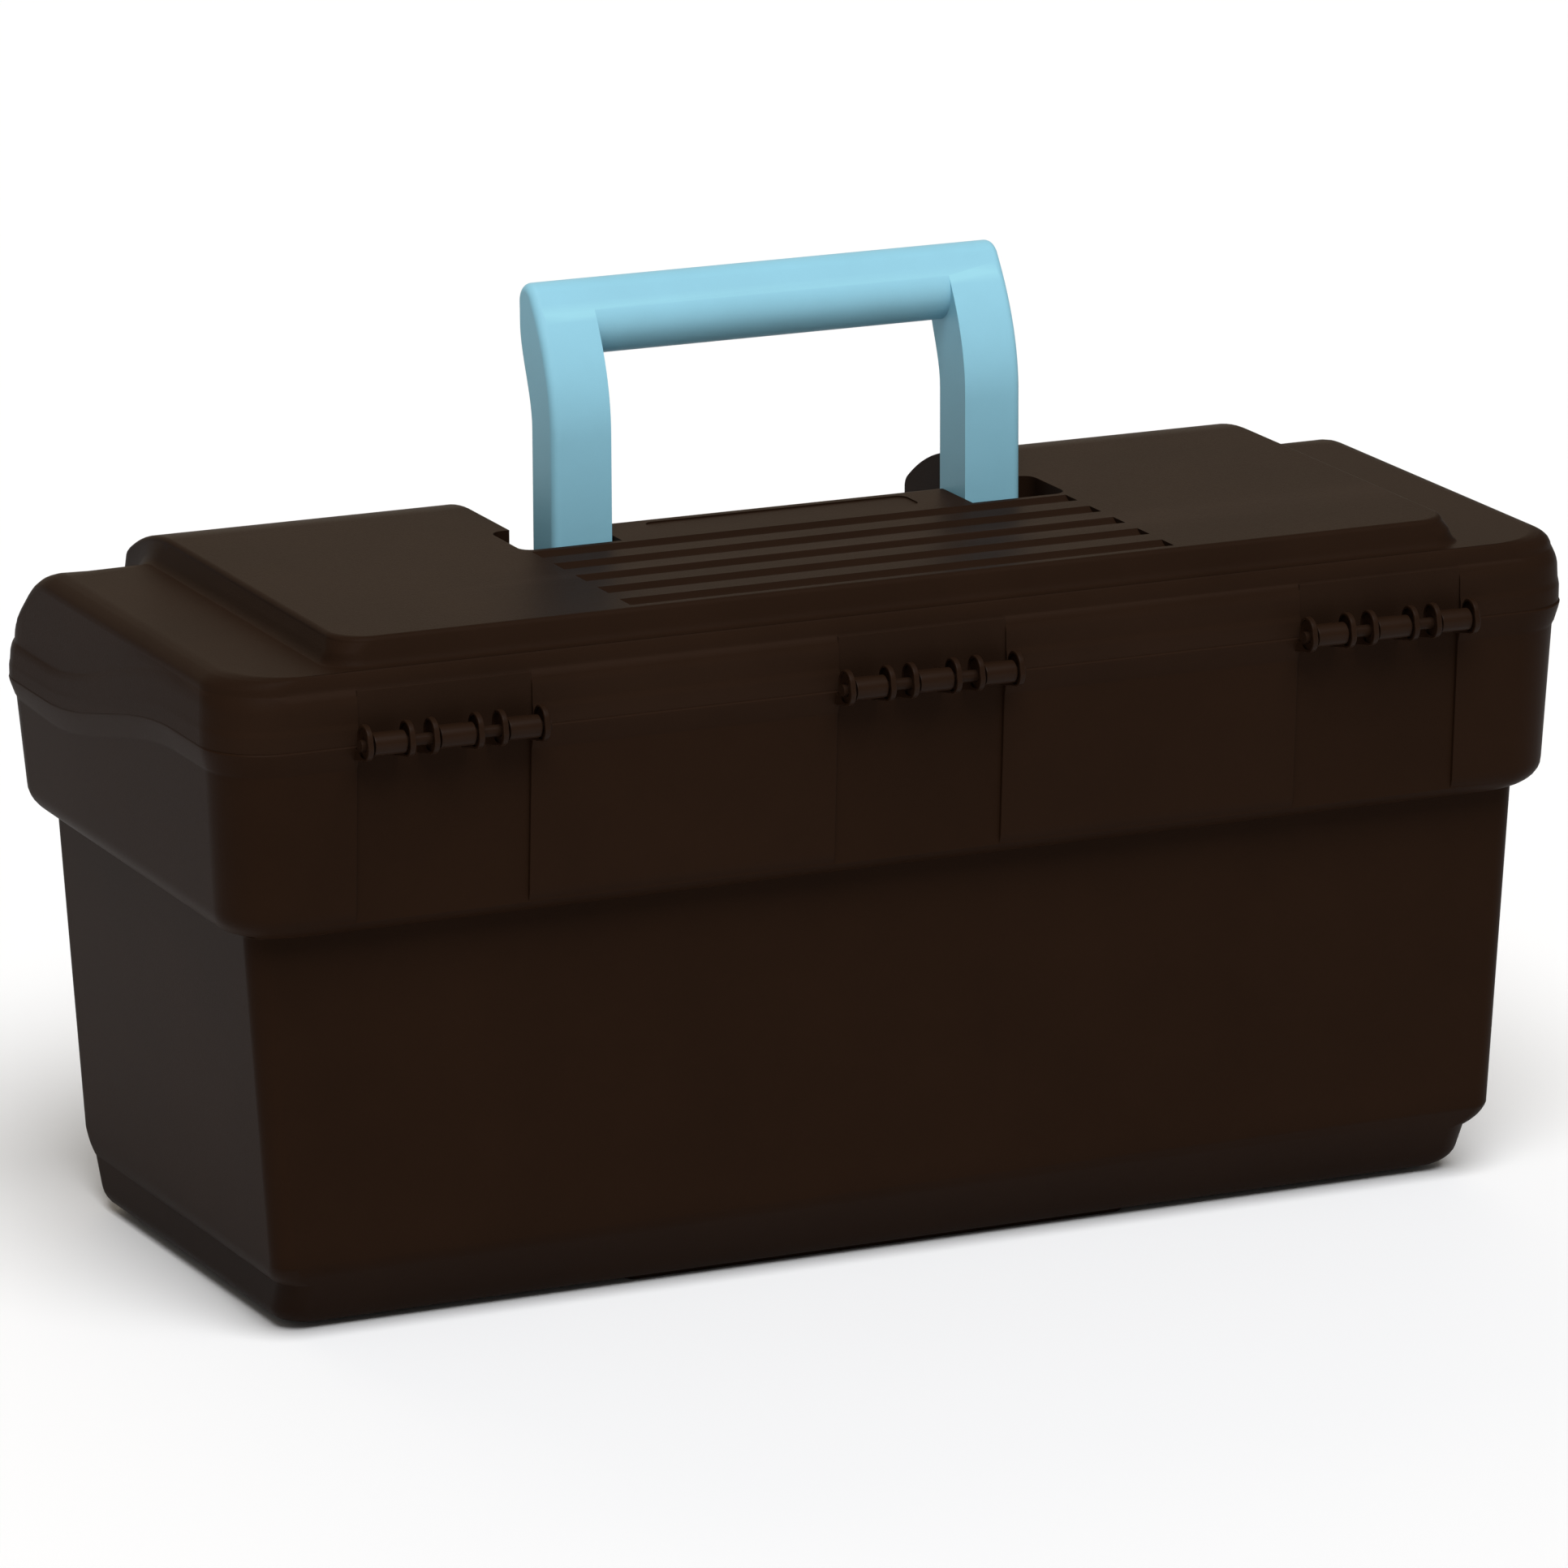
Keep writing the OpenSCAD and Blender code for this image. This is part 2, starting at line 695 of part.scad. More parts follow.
module tray() {
    color([0.45, 0.68, 0.78])
        difference() {
            tray_block(0, tray_low, tray_height);
            for (c = [0:tray_cells - 1])
                intersection() {
                    tray_block(tray_wall, tray_low + tray_wall, tray_height);
                    translate([-tray_x + 2 * tray_x * c / tray_cells + tray_wall / 2, -tray_y, tray_low])
                        cube([2 * tray_x / tray_cells - tray_wall, 2 * tray_y, 2 * tray_height]);
                }
        }
}

module tray_block(inset, z, h) {
    r = tray_radius - inset;
    x = tray_x - tray_radius;
    y = tray_y - tray_radius;
    translate([-x - r, -y, z])
        cube([2 * (x + r), 2 * y, h]);
    translate([-x, -y - r, z])
        cube([2 * x, 2 * (y + r), h]);
    for (sx = ends)
        for (sy = ends)
            translate([sx * x, sy * y, z])
                cylinder(r = r, h = h);
}

module hinge_pin_left() {
    hinge_pin(hinge_pitch);
}

module hinge_pin_middle() {
    hinge_pin(0);
}

module hinge_pin_right() {
    hinge_pin(-hinge_pitch);
}

module latch_left() {
    latch(latch_places[1]);
}

module latch_right() {
    latch(latch_places[0]);
}

module latch_pin_left() {
    latch_pin(latch_places[1]);
}

module latch_pin_right() {
    latch_pin(latch_places[0]);
}

body();
lid();
handle();
hinge_pin_left();
hinge_pin_middle();
hinge_pin_right();
latch_left();
latch_right();
latch_pin_left();
latch_pin_right();
tray();
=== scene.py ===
"""Grooming box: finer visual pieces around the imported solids, with materials, light and camera."""
import math

import bmesh
import bpy
from mathutils import Matrix, Vector


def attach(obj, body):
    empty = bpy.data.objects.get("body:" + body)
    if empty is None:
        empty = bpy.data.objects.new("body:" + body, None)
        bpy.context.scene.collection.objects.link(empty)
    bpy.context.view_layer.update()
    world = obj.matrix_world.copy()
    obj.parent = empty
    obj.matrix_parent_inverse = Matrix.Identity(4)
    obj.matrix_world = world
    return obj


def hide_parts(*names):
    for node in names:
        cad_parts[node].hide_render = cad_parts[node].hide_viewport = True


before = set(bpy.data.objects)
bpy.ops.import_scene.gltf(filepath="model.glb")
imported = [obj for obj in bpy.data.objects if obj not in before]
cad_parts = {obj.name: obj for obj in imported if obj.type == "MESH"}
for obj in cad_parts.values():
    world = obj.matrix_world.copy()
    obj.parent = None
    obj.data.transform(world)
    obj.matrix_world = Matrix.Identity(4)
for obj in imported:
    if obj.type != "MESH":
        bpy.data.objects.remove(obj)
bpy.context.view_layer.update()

# Sizes and places are in millimetres; places count from the middle of the box and from the ground
MM = 0.001
# How near to a place an edge counts as lying there
NEAR = 0.05
# How far joined forms reach into each other
OVERLAP = 0.001
# A place behind every piece
FAR = 110.0

# Pad, plinth and tapered wall of the bin
WALL = 2.6
FLOOR_Z = 4.6
PAD_X = 76.9
PAD_Y = 61.0
PAD_Z = 2.0
PAD_RADIUS = 4.0
PAD_EDGE = 0.6
PLINTH_X = 181.3
PLINTH_Z = 14.0
PLINTH_DRAFT = 0.2
FOOT_ROUND = 5.0
FOOT_REAR_ROUND = 1.2
FOOT_RADIUS = 8.0
FOOT_SPREAD = 3.4
FOOT_SLANT = 11.5
FOOT_STEPS = 6
SLANT_Z = 20.0
HEEL = 8.0
HEEL_STEPS = 7
BIN_X_TOP = 191.6
BIN_X_LOW = 185.5
BIN_Y = 76.5
BIN_RADIUS = 6.0

# Collar of the bin, with the ledge inside it
COLLAR_X = 199.8
COLLAR_Y = 86.8
COLLAR_RADIUS = 16.0
COLLAR_LOW = 115.2
COLLAR_ROUND = 8.0
COLLAR_TURN = 77
COLLAR_STEPS = 7
LEDGE_Z = 118.8
# Proud in x, proud in y, height against the collar's underside
COLLAR_FOOT = ((-0.05, 0.0, -0.7), (0.15, 0.25, -0.15))
# Inset from the inner wall, height against the ledge
LEDGE_CORNER = ((0.2, 0.8), (0.9, 0.0))
LEDGE_EDGE = ((-0.6, -0.95), (0.0, -1.8))

# Rim of the bin, with the flange under it and the lip inside it
RIM_X = 203.6
RIM_Y = 90.8
RIM_RADIUS = 18.0
LAND = 3.4
LIP = 2.6
LIP_Z = 3.0
LIP_EDGE = 0.5
LIP_INNER_EDGE = 0.4
LIP_DRAFT = 0.2
FLANGE_FRONT = 5.3
FLANGE_REAR = 6.5
FLANGE_FULL = -42.2
FLANGE_PROUD = 1.8
# Proud in x, proud in y, less corner radius, share of the flange's height, height
FLANGE_FOOT = ((-0.05, -0.05, 1.0, 1.0, -0.7), (0.1, 0.1, 1.0, 1.0, 0.0), (0.55, 0.45, 0.8, 0.86, 0.0))
# Inset in x, inset in y, less corner radius, height against the parting line
RIM_EDGE = ((0.2, 0.2, 0.0, -1.6), (0.0, 0.0, 0.0, -0.42), (0.02, 0.06, 0.0, -0.3),
            (0.08, 0.36, 0.2, -0.03), (0.14, 0.5, 0.4, 0.0))

# Parting line between bin and lid, which rises to the rear, and the lid's band above it
PART_REAR = 169.0
PART_FRONT = 154.0
PART_GAP = 0.4
STEP_FRONT = -47.2
STEP_REAR = 52.2
BAND_FRONT = 10.0
BAND_REAR = 14.1
# Inset in x, inset in y, share of the band's height, height
LID_BAND = ((0.9, 0.9, 0, -0.38), (0.14, 0.46, 0, -0.38), (0.12, 0.44, 0, -0.3), (0.12, 0.38, 0.26, 0),
            (0.16, 0.46, 0.31, 0), (0.22, 0.7, 0.37, 0), (0.32, 0.85, 0.43, 0), (0.46, 0.9, 0.7, 0),
            (0.62, 1.05, 0.79, 0), (0.8, 1.4, 0.87, 0), (1.05, 1.8, 0.94, 0), (1.3, 2.15, 1, 0))

# Step of the lid, which falls to the front, with a roll along its edge
TIER_TOP = 188.5
TIER_BEND = -47.8
TIER_ROUND = 24.0
TIER_SLOPE = math.radians(40)
TIER_SIDE = 3.2
TIER_BACK = 2.2
TIER_FORE = 1.8
TIER_RADIUS = 19.0
ROLL_FOOT_X = 1.4
ROLL_FOOT_REAR = 0.1
ROLL_FOOT_FORE = 1.72
ROLL_FOOT_RADIUS = 18.6
ROLL_FOOT_Z = -4.8
ROLL_FOOT_LEAST = 0.06
ROLL_INSET = 1.5
ROLL_REAR = 0.2
ROLL_X = 6.8
ROLL_Y = 1.35
ROLL_FORE = 1.5
ROLL_Z = 4.4
ROLL_LEAST = 0.3
ROLL_LEAST_FALL = 0.1
# Angle round the roll, extra set-back of its rear, which draws a fine line there
ROLL_TURNS = ((0, 0), (12, 0), (24, 0), (36, 0), (48, 0), (57, 0), (60, 0.28), (72, 0.34), (82, 0.3), (90, 0))

# Block on top of the lid, and the cavity under it
LID_TOP = 196.0
BLOCK_X = 170.0
BLOCK_REAR = 84.2
BLOCK_FORE = -87.1
BLOCK_BEND = -44.0
BLOCK_ROUND = 67.0
BLOCK_RADIUS = 10.0
BLOCK_DRAFT_X = 2.9
BLOCK_DRAFT_REAR = 1.8
BLOCK_DRAFT_FORE = 0.4
BLOCK_EDGE = 1.6
BLOCK_STEPS = 6
BLOCK_FOOT_LEAST = 0.3
BLOCK_FOOT_FORE = 0.1
# Proud in x, rear face, height: the hollow foot of the block
BLOCK_FOOT = ((0.8, 85.5, 0.0), (0.5, 84.85, 0.08), (0.1, 84.3, 0.35), (-0.4, 83.8, 0.9), (-0.9, 83.4, 1.7),
              (-1.35, 83.1, 2.7), (-1.9, 82.8, 3.9))
LID_WALL = 3.4
CAVITY_RADIUS = 7.4
CAVITY_FORE = 1.0
TIER_CAVITY_RADIUS = 16.0
SKIRT = 3.0
SKIRT_SLOPE = 1.0
SKIRT_SHARE = 0.6
SKIRT_DRAFT = 0.3
SKIRT_BELOW = 3.0

# Pocket that the handle folds into, with the axle bar and its bare panel
SLOT_X = 77.0
SLOT_REAR = 8.6
SLOT_Z = 174.15
SLOT_Z_FRONT = 165.15
SLOT_BEND = -40.2
SLOT_DIP = -64.2
SLOT_OVER = 4.0
SLOT_TOP = 202.0
HOLLOW_X = 83.2
HOLLOW_FRONT = -16.0
HOLLOW_RADIUS = 4.0
HOLLOW_TOP = 202.5
POCKET_EDGE = 0.8
POCKET_EDGE_LOW = 166.0
POCKET_EDGE_DEEP = 1.2
POCKET_EDGE_BEHIND = 0.5
BAR_X = 53.6
BAR_FRONT = -16.4
BAR_ROUND = 6.0
BAR_LOW = 4.0
BAR_OVER = 9.0
BAR_BEHIND = 2.0
BAR_MEETS = 0.01
PANEL_X = 40.0
PANEL_FRONT = -8.6
PANEL_REAR = 3.6
PANEL_RADIUS = 3.0
PANEL_DEEP = 0.4
PANEL_OVER = 3.0
CORE_X = 42.5
CORE_FRONT = -13.8
CORE_RADIUS = 2.0
CORE_LOW = 5.2
CORE_ROOF = 2.6

# Grooves behind the pocket
GROOVE_FIRST = 14.6
GROOVE_PITCH = 15.1
GROOVE_COUNT = 5
GROOVE_X = 81.5
GROOVE_RADIUS = 5.5
GROOVE_Z = 199.9
GROOVE_REAR = 80.2
GROOVE_EDGE = 1.2
GROOVE_EDGE_NEAR = 0.4
EDGE_BESIDE = 1.0

# Hinges: ears of the bin, knuckles and plates of the lid
HINGE_PITCH = 140.0
HINGES = (-HINGE_PITCH, 0.0, HINGE_PITCH)
PIN_Y = 96.5
PIN_Z = 170.5
EARS = (-25.3, -13.3, -6.4, 6.4, 13.3, 25.3)
EAR_RADIUS = 4.3
EAR_WIDTH = 1.6
EAR_SHIFT = 0.3
EAR_RISE = 1.5
EAR_BACK = 0.2
EAR_EDGE = 0.3
EAR_HOLE = 1.75
ARM_IN = 0.05
ARM_TOP = 2.2
ARM_ROOT = 1.2
DISH_RADIUS = 3.7
DISH_TOP_RADIUS = 3.5
DISH_RISE = 1.4
DISH_DEEP = 0.55
DISH_OVER = 1.0
KNUCKLES = tuple(zip(EARS[0::2], EARS[1::2]))
KNUCKLE_RADIUS = 3.1
KNUCKLE_GAP = 1.4
KNUCKLE_EDGE = 0.3
KNUCKLE_TOP_TURN = 153
KNUCKLE_LOW_TURN = -163
KNUCKLE_TOP = 1.4
KNUCKLE_LOW = -0.9
KNUCKLE_ROOT = 1.2
PLATE_HALF = 25.0
PLATE_Y = 89.4
PLATE_TOP = 183.6
PLATE_LOW = 0.5
PLATE_THICK = 2.2
PLATE_PROUD = 0.02
PLATE_EDGE = 0.2
PLATE_CUT_LOW = 160.0
PLATE_CUT_EDGE = 0.25
RECESS_Y = 86.7
RECESS_LOW_Y = RECESS_Y - 1.3
RECESS_TOP_Y = RECESS_Y + 3.2
RECESS_TOP = 200.0
RECESS_EDGE = 0.35

# Handle: legs with round lower ends, grip bar, stub axles
PIVOT_Y = -5.6
PIVOT_Z = 184.5
LEG_IN = 54.0
LEG_OUT = 71.5
LEG_RADIUS = 8.35
LEG_EDGE = 2.5
LEG_INNER_EDGE = 2.0
LEG_STEPS = 30
LEAN = 8.0
LEAN_FROM = 224.8
LEAN_TO = 253.8
LEAN_CURVE = 100.0
CROWN_Y = -16.27
CROWN_Z = 259.4
CROWN_RADIUS = 5.75
CROWN_TURN = 37
GRIP_RADIUS = 9.0
GRIP_FRONT_RADIUS = 5.0
GRIP_TURN = 258.0
GRIP_EDGE_END = 3.0
WINDOW_LOW = 150.0
WINDOW_OUT = 30.0
WINDOW_REAR = 60.0
WINDOW_RISE = 9.0
STUB_RADIUS = 3.5
STUB_IN = 8.0
STUB_OUT = 1.0

# Latches, their lugs on the lid and their catches on the bin
LATCH_PLACE = 116.246
LATCHES = (-LATCH_PLACE, LATCH_PLACE)
LATCH_Y = -93.7
LATCH_Z = 174.5
LATCH_WIDTH = 34.0
LATCH_RADIUS = 3.5
LATCH_AJAR = math.radians(14)
LATCH_THICK = 2.6
LATCH_OUT = 1.5
LATCH_NECK = 6.0
LATCH_EDGE = 0.5
HOOK_DROP = 4.5
HOOK_THICK = 3.0
HOOK_IN = 2.6
HOOK_NOSE = 1.0
PULL_LOW = 6.0
PULL_HIGH = 4.5
PULL_OUT = 3.6
PULL_IN = 1.6
LUG_RADIUS = 4.2
LUG_HALF = 1.5
LUG_GAP = 1.85
LUG_ROOT = 2.0
LUG_EDGE = 0.4
CATCH_Y = -93.8
CATCH_TOP = 149.0
CATCH_X = 14.0
CATCH_HIGH = 4.0
CATCH_BEVEL = 2.2
CATCH_EDGE = 0.5
CATCH_FREE = -88.0

# Tray
TRAY_X = 195.7
TRAY_Y = 82.7
TRAY_Z = 119.1
TRAY_HEIGHT = 26.0
TRAY_RADIUS = 11.9
TRAY_WALL = 1.8
CELL_COUNT = 4
CELL_RADIUS = 9.0
CELL_WALL = 0.9
# Inset, height over the tray's underside: first the tray's outside, then a cell's inside
TRAY_SIDE = ((1.5, 0), (0.44, 0.44), (0, 1.5), (0, TRAY_HEIGHT - 0.8), (0.24, TRAY_HEIGHT - 0.24),
             (0.8, TRAY_HEIGHT))
CELL_SIDE = ((3.0, 1.8), (0.9, 2.7), (0, 4.8), (-0.15, TRAY_HEIGHT + 1))


# Heights as the solids have them
def rise(y, a, b):
    """Smooth step from 0 at a to 1 at b."""
    t = min(1.0, max(0.0, (y - a) / (b - a)))
    return t * t * (3 - 2 * t)


def parting(y):
    return PART_FRONT + (PART_REAR - PART_FRONT) * rise(y, STEP_FRONT, STEP_REAR)


def band(y):
    return BAND_FRONT + (BAND_REAR - BAND_FRONT) * rise(y, STEP_FRONT, STEP_REAR)


def flange(y):
    return FLANGE_FRONT + (FLANGE_REAR - FLANGE_FRONT) * rise(y, -RIM_Y, FLANGE_FULL)


def tier(y):
    d = TIER_BEND - y
    bend = TIER_ROUND * math.sin(TIER_SLOPE)
    if d <= 0:
        return TIER_TOP
    if d < bend:
        return TIER_TOP - TIER_ROUND + math.sqrt(TIER_ROUND ** 2 - d * d)
    return TIER_TOP - TIER_ROUND * (1 - math.cos(TIER_SLOPE)) - (d - bend) * math.tan(TIER_SLOPE)


def block(y):
    d = max(0.0, BLOCK_BEND - y)
    return LID_TOP - BLOCK_ROUND + math.sqrt(BLOCK_ROUND ** 2 - d * d)


def bin_rear(z):
    return BIN_Y - FOOT_SLANT * max(0.0, 1 - (z - PAD_Z) / SLANT_Z)


def band_top(y):
    return parting(y) + PART_GAP + band(y)


# Heights for the rings, as functions of y
def at(z):
    return lambda y: z


def rim_at(h):
    return lambda y: parting(y) + h


def flange_at(share, h):
    return lambda y: parting(y) - share * flange(y) + h


def band_at(share, h=0.0):
    return lambda y: parting(y) + PART_GAP + share * band(y) + h


def tier_at(h, least):
    return lambda y: max(tier(y) + h, band_top(y) + least)


def block_at(h):
    return lambda y: block(y) + h


def foot_at(h):
    return lambda y: max(tier(y) + h, band_top(y) + BLOCK_FOOT_LEAST + h)


# Outlines
CORNER_STEPS = 10
SIDE_STEPS = 44
DISC_STEPS = 36


def turns(steps, start, end):
    """Angles in even steps, asked for in degrees and given in radians."""
    return [math.radians(start + (end - start) * i / steps) for i in range(steps + 1)]


def arc(cy, cz, r, start, end, steps):
    return [(cy + r * math.cos(a), cz + r * math.sin(a)) for a in turns(steps, start, end)]


def disc(cy, cz, r):
    return arc(cy, cz, r, 0, 360, DISC_STEPS)[:-1]


def oblong(x0, x1, y0, y1):
    return [(x0, y0), (x1, y0), (x1, y1), (x0, y1)]


def rounded(x0, x1, y0, y1, r, steps=6):
    out = []
    corners = ((x1 - r, y1 - r, 0), (x0 + r, y1 - r, 90), (x0 + r, y0 + r, 180), (x1 - r, y0 + r, 270))
    for cx, cy, start in corners:
        out += arc(cx, cy, r, start, start + 90, steps)
    return out


def ring(x, rear, front, r, height, spread=0.0):
    """Closed rounded rectangle, mirrored in x, with a height for each y; spread widens it to the front."""
    half = []
    for a in turns(CORNER_STEPS, 90, 0):
        half.append((x - r + r * math.cos(a), rear - r + r * math.sin(a)))
    for i in range(1, SIDE_STEPS):
        half.append((x + spread * i / SIDE_STEPS, rear - r + (front - rear + 2 * r) * i / SIDE_STEPS))
    for a in turns(CORNER_STEPS, 0, -90):
        half.append((x + spread - r + r * math.cos(a), front + r + r * math.sin(a)))
    points = [(px, py, height(py)) for px, py in half]
    return points + [(-px, py, pz) for px, py, pz in reversed(points)]


def even(x, y, r, height, spread=0.0):
    return ring(x, y, -y, r, height, spread)


# Mesh helpers, with their distances in metres
SAME_POINT = 1e-7
SAME_POINT_AFTER_CUT = 2e-6
FLAT = math.radians(0.3)
NORMAL_WEIGHT = 50


def piece(name, points, faces):
    """Object from points in millimetres."""
    mesh = bpy.data.meshes.new(name)
    mesh.from_pydata([tuple(c * MM for c in p) for p in points], [], faces)
    obj = bpy.data.objects.new(name, mesh)
    bpy.context.scene.collection.objects.link(obj)
    work = bmesh.new()
    work.from_mesh(mesh)
    bmesh.ops.remove_doubles(work, verts=work.verts, dist=SAME_POINT)
    bmesh.ops.recalc_face_normals(work, faces=work.faces)
    work.to_mesh(mesh)
    work.free()
    return obj


def bands(count, n):
    """Faces that join each of count rings of n points to the next."""
    faces = []
    for k in range(count - 1):
        for i in range(n):
            j = (i + 1) % n
            faces.append((k * n + i, k * n + j, (k + 1) * n + j, (k + 1) * n + i))
    return faces


def loft(name, rings):
    """Skin over rings that are mirrored in x, closed by strips at both ends."""
    n = len(rings[0])
    faces = bands(len(rings), n)
    for base in (0, (len(rings) - 1) * n):
        for i in range(n // 2 - 1):
            faces.append((base + i, base + i + 1, base + n - 2 - i, base + n - 1 - i))
    return piece(name, [p for r in rings for p in r], faces)


def stack(name, outlines):
    """Skin over outlines with the same number of points, closed by one face at both ends."""
    n = len(outlines[0])
    last = (len(outlines) - 1) * n
    faces = bands(len(outlines), n) + [tuple(range(n)), tuple(range(last, last + n))]
    return piece(name, [p for outline in outlines for p in outline], faces)


def prism(name, outline, x0, x1):
    """Outline in y and z, drawn out along x."""
    return stack(name, [[(x, y, z) for y, z in outline] for x in (x0, x1)])


def slab(name, outline, z0, z1):
    """Outline in x and y, drawn out along z."""
    return stack(name, [[(x, y, z) for x, y in outline] for z in (z0, z1)])


def cut(obj, tool, operation="DIFFERENCE"):
    """Takes the tool's form away from the object, or adds it, and uses the tool up."""
    modifier = obj.modifiers.new("cut", "BOOLEAN")
    modifier.object = tool
    modifier.operation = operation
    modifier.solver = "EXACT"
    bpy.context.view_layer.update()
    made = bpy.data.meshes.new_from_object(obj.evaluated_get(bpy.context.evaluated_depsgraph_get()))
    obj.modifiers.clear()
    old = obj.data
    obj.data = made
    bpy.data.meshes.remove(old)
    bpy.data.meshes.remove(tool.data)
    return obj


def merge_flat(obj):
    """Merges the doubled points and the flat faces that cuts leave."""
    work = bmesh.new()
    work.from_mesh(obj.data)
    bmesh.ops.remove_doubles(work, verts=work.verts, dist=SAME_POINT_AFTER_CUT)
    bmesh.ops.dissolve_limit(work, angle_limit=FLAT, verts=work.verts, edges=work.edges)
    work.to_mesh(obj.data)
    work.free()


def soften(obj, width, where=None, least=60, segments=3):
    """Rounds the outer edges that turn by at least so many degrees and whose middle passes the test."""
    work = bmesh.new()
    work.from_mesh(obj.data)
    chosen = []
    for e in work.edges:
        if len(e.link_faces) != 2 or e.calc_face_angle_signed(0.0) < math.radians(least):
            continue
        middle = (e.verts[0].co + e.verts[1].co) / 2 / MM
        if where is None or where(middle.x, middle.y, middle.z):
            chosen.append(e)
    bmesh.ops.bevel(work, geom=chosen, offset=width * MM, offset_type="OFFSET", segments=segments,
                    profile=0.5, affect="EDGES", clamp_overlap=True, material=-1)
    work.to_mesh(obj.data)
    work.free()


def join(obj, others):
    """Adds the meshes of the others to the object and uses them up."""
    work = bmesh.new()
    work.from_mesh(obj.data)
    for o in others:
        work.from_mesh(o.data)
        bpy.data.meshes.remove(o.data)
    work.to_mesh(obj.data)
    work.free()


def ready(obj, node, body, material, sharp=32.0):
    """Gives a piece its shading and material and ties it to the frame."""
    for p in obj.data.polygons:
        p.use_smooth = True
    obj.data.set_sharp_from_angle(angle=math.radians(sharp))
    obj.data.materials.clear()
    obj.data.materials.append(material)
    modifier = obj.modifiers.new("normals", "WEIGHTED_NORMAL")
    modifier.weight = NORMAL_WEIGHT
    modifier.keep_sharp = True
    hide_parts(node)
    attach(obj, body)


# Bin
def foot_rings():
    rings = []
    for a in turns(FOOT_STEPS, 90, 0):
        turn = 1 - math.cos(a)
        z = PAD_Z + FOOT_ROUND * (1 - math.sin(a))
        rear = bin_rear(z) - FOOT_REAR_ROUND * turn
        rings.append(even(PLINTH_X - FOOT_ROUND * turn, rear, FOOT_RADIUS, at(z), FOOT_SPREAD))
    step = BIN_X_LOW - PLINTH_X
    heel = math.acos(1 - step / HEEL)
    for i in range(HEEL_STEPS + 1):
        a = heel * (HEEL_STEPS - i) / HEEL_STEPS
        inset = HEEL * (1 - math.cos(a))
        z = PLINTH_Z + HEEL * (1 - math.sin(a))
        spread = inset * FOOT_SPREAD / step
        rings.append(even(BIN_X_LOW - inset, bin_rear(z), BIN_RADIUS + inset / 2, at(z), spread))
    return rings


def wall_rings():
    rings = [even(BIN_X_LOW, BIN_Y, BIN_RADIUS, at(PAD_Z + SLANT_Z))]
    for dx, dy, h in COLLAR_FOOT:
        rings.append(even(BIN_X_TOP + dx, BIN_Y + dy, BIN_RADIUS, at(COLLAR_LOW + h)))
    for a in turns(COLLAR_STEPS, COLLAR_TURN, 0):
        inset = COLLAR_ROUND * (1 - math.cos(a))
        z = COLLAR_LOW + COLLAR_ROUND * (1 - math.sin(a))
        rings.append(even(COLLAR_X - inset, COLLAR_Y - inset, COLLAR_RADIUS, at(z)))
    return rings


def rim_rings():
    rings = []
    edge_x = RIM_X - FLANGE_PROUD
    edge_y = RIM_Y - FLANGE_PROUD
    for dx, dy, dr, share, h in FLANGE_FOOT:
        rings.append(even(edge_x + dx, edge_y + dy, RIM_RADIUS - dr, flange_at(share, h)))
    for dx, dy, dr, h in RIM_EDGE:
        rings.append(even(RIM_X - dx, RIM_Y - dy, RIM_RADIUS - dr, rim_at(h)))
    lip = (
        (LAND, LAND, 0),
        (LAND + LIP_DRAFT, LAND, LIP_Z - LIP_EDGE),
        (LAND + LIP_DRAFT + LIP_EDGE, LAND, LIP_Z),
        (LAND + LIP - LIP_INNER_EDGE, LIP, LIP_Z),
        (LAND + LIP, LIP, LIP_Z - LIP_EDGE),
        (LAND + LIP + LIP_DRAFT, LIP, -FLANGE_REAR),
    )
    for inset, dr, h in lip:
        rings.append(even(RIM_X - inset, RIM_Y - inset, RIM_RADIUS - dr, rim_at(h)))
    return rings


def inside_rings():
    x, y, r = COLLAR_X - WALL, COLLAR_Y - WALL, COLLAR_RADIUS - WALL
    rings = [even(x, y, r, at(COLLAR_LOW + COLLAR_ROUND + WALL))]
    rings += [even(x - inset, y - inset, r, at(LEDGE_Z + h)) for inset, h in LEDGE_CORNER]
    x, y, r = BIN_X_TOP - WALL, BIN_Y - WALL, BIN_RADIUS - WALL / 2
    rings += [even(x - inset, y - inset, r, at(LEDGE_Z + h)) for inset, h in LEDGE_EDGE]
    rings.append(even(BIN_X_LOW - WALL, y, r, at(PAD_Z + SLANT_Z + WALL)))
    x, r = PLINTH_X - WALL, FOOT_RADIUS - WALL / 2
    rings.append(even(x, bin_rear(PLINTH_Z) - WALL, r, at(PLINTH_Z + WALL)))
    rings.append(even(x - PLINTH_DRAFT, bin_rear(FLOOR_Z) - WALL, r, at(FLOOR_Z + WALL)))
    rings.append(even(PLINTH_X - FOOT_ROUND, bin_rear(PAD_Z) - WALL, r, at(FLOOR_Z)))
    return rings


def beside_hinge(x):
    return any(abs(abs(x - h) - PLATE_HALF) < NEAR for h in HINGES)


def recess_edge(x, y, z):
    return y > RECESS_LOW_Y - NEAR and beside_hinge(x)


def make_pad():
    made = slab("pad", rounded(-PAD_X, PAD_X, -PAD_Y, PAD_Y, PAD_RADIUS), 0, FLOOR_Z - WALL / 2)
    soften(made, PAD_EDGE, lambda x, y, z: z < NEAR)
    return made


def make_catch(c):
    low = CATCH_TOP - CATCH_HIGH
    root = LAND - RIM_Y
    outline = [(CATCH_Y, low), (root, low), (root, CATCH_TOP), (CATCH_Y + CATCH_BEVEL, CATCH_TOP),
               (CATCH_Y, CATCH_TOP - CATCH_BEVEL)]
    made = prism("catch", outline, c - CATCH_X, c + CATCH_X)
    soften(made, CATCH_EDGE, lambda x, y, z: y < CATCH_FREE, least=35)
    return made


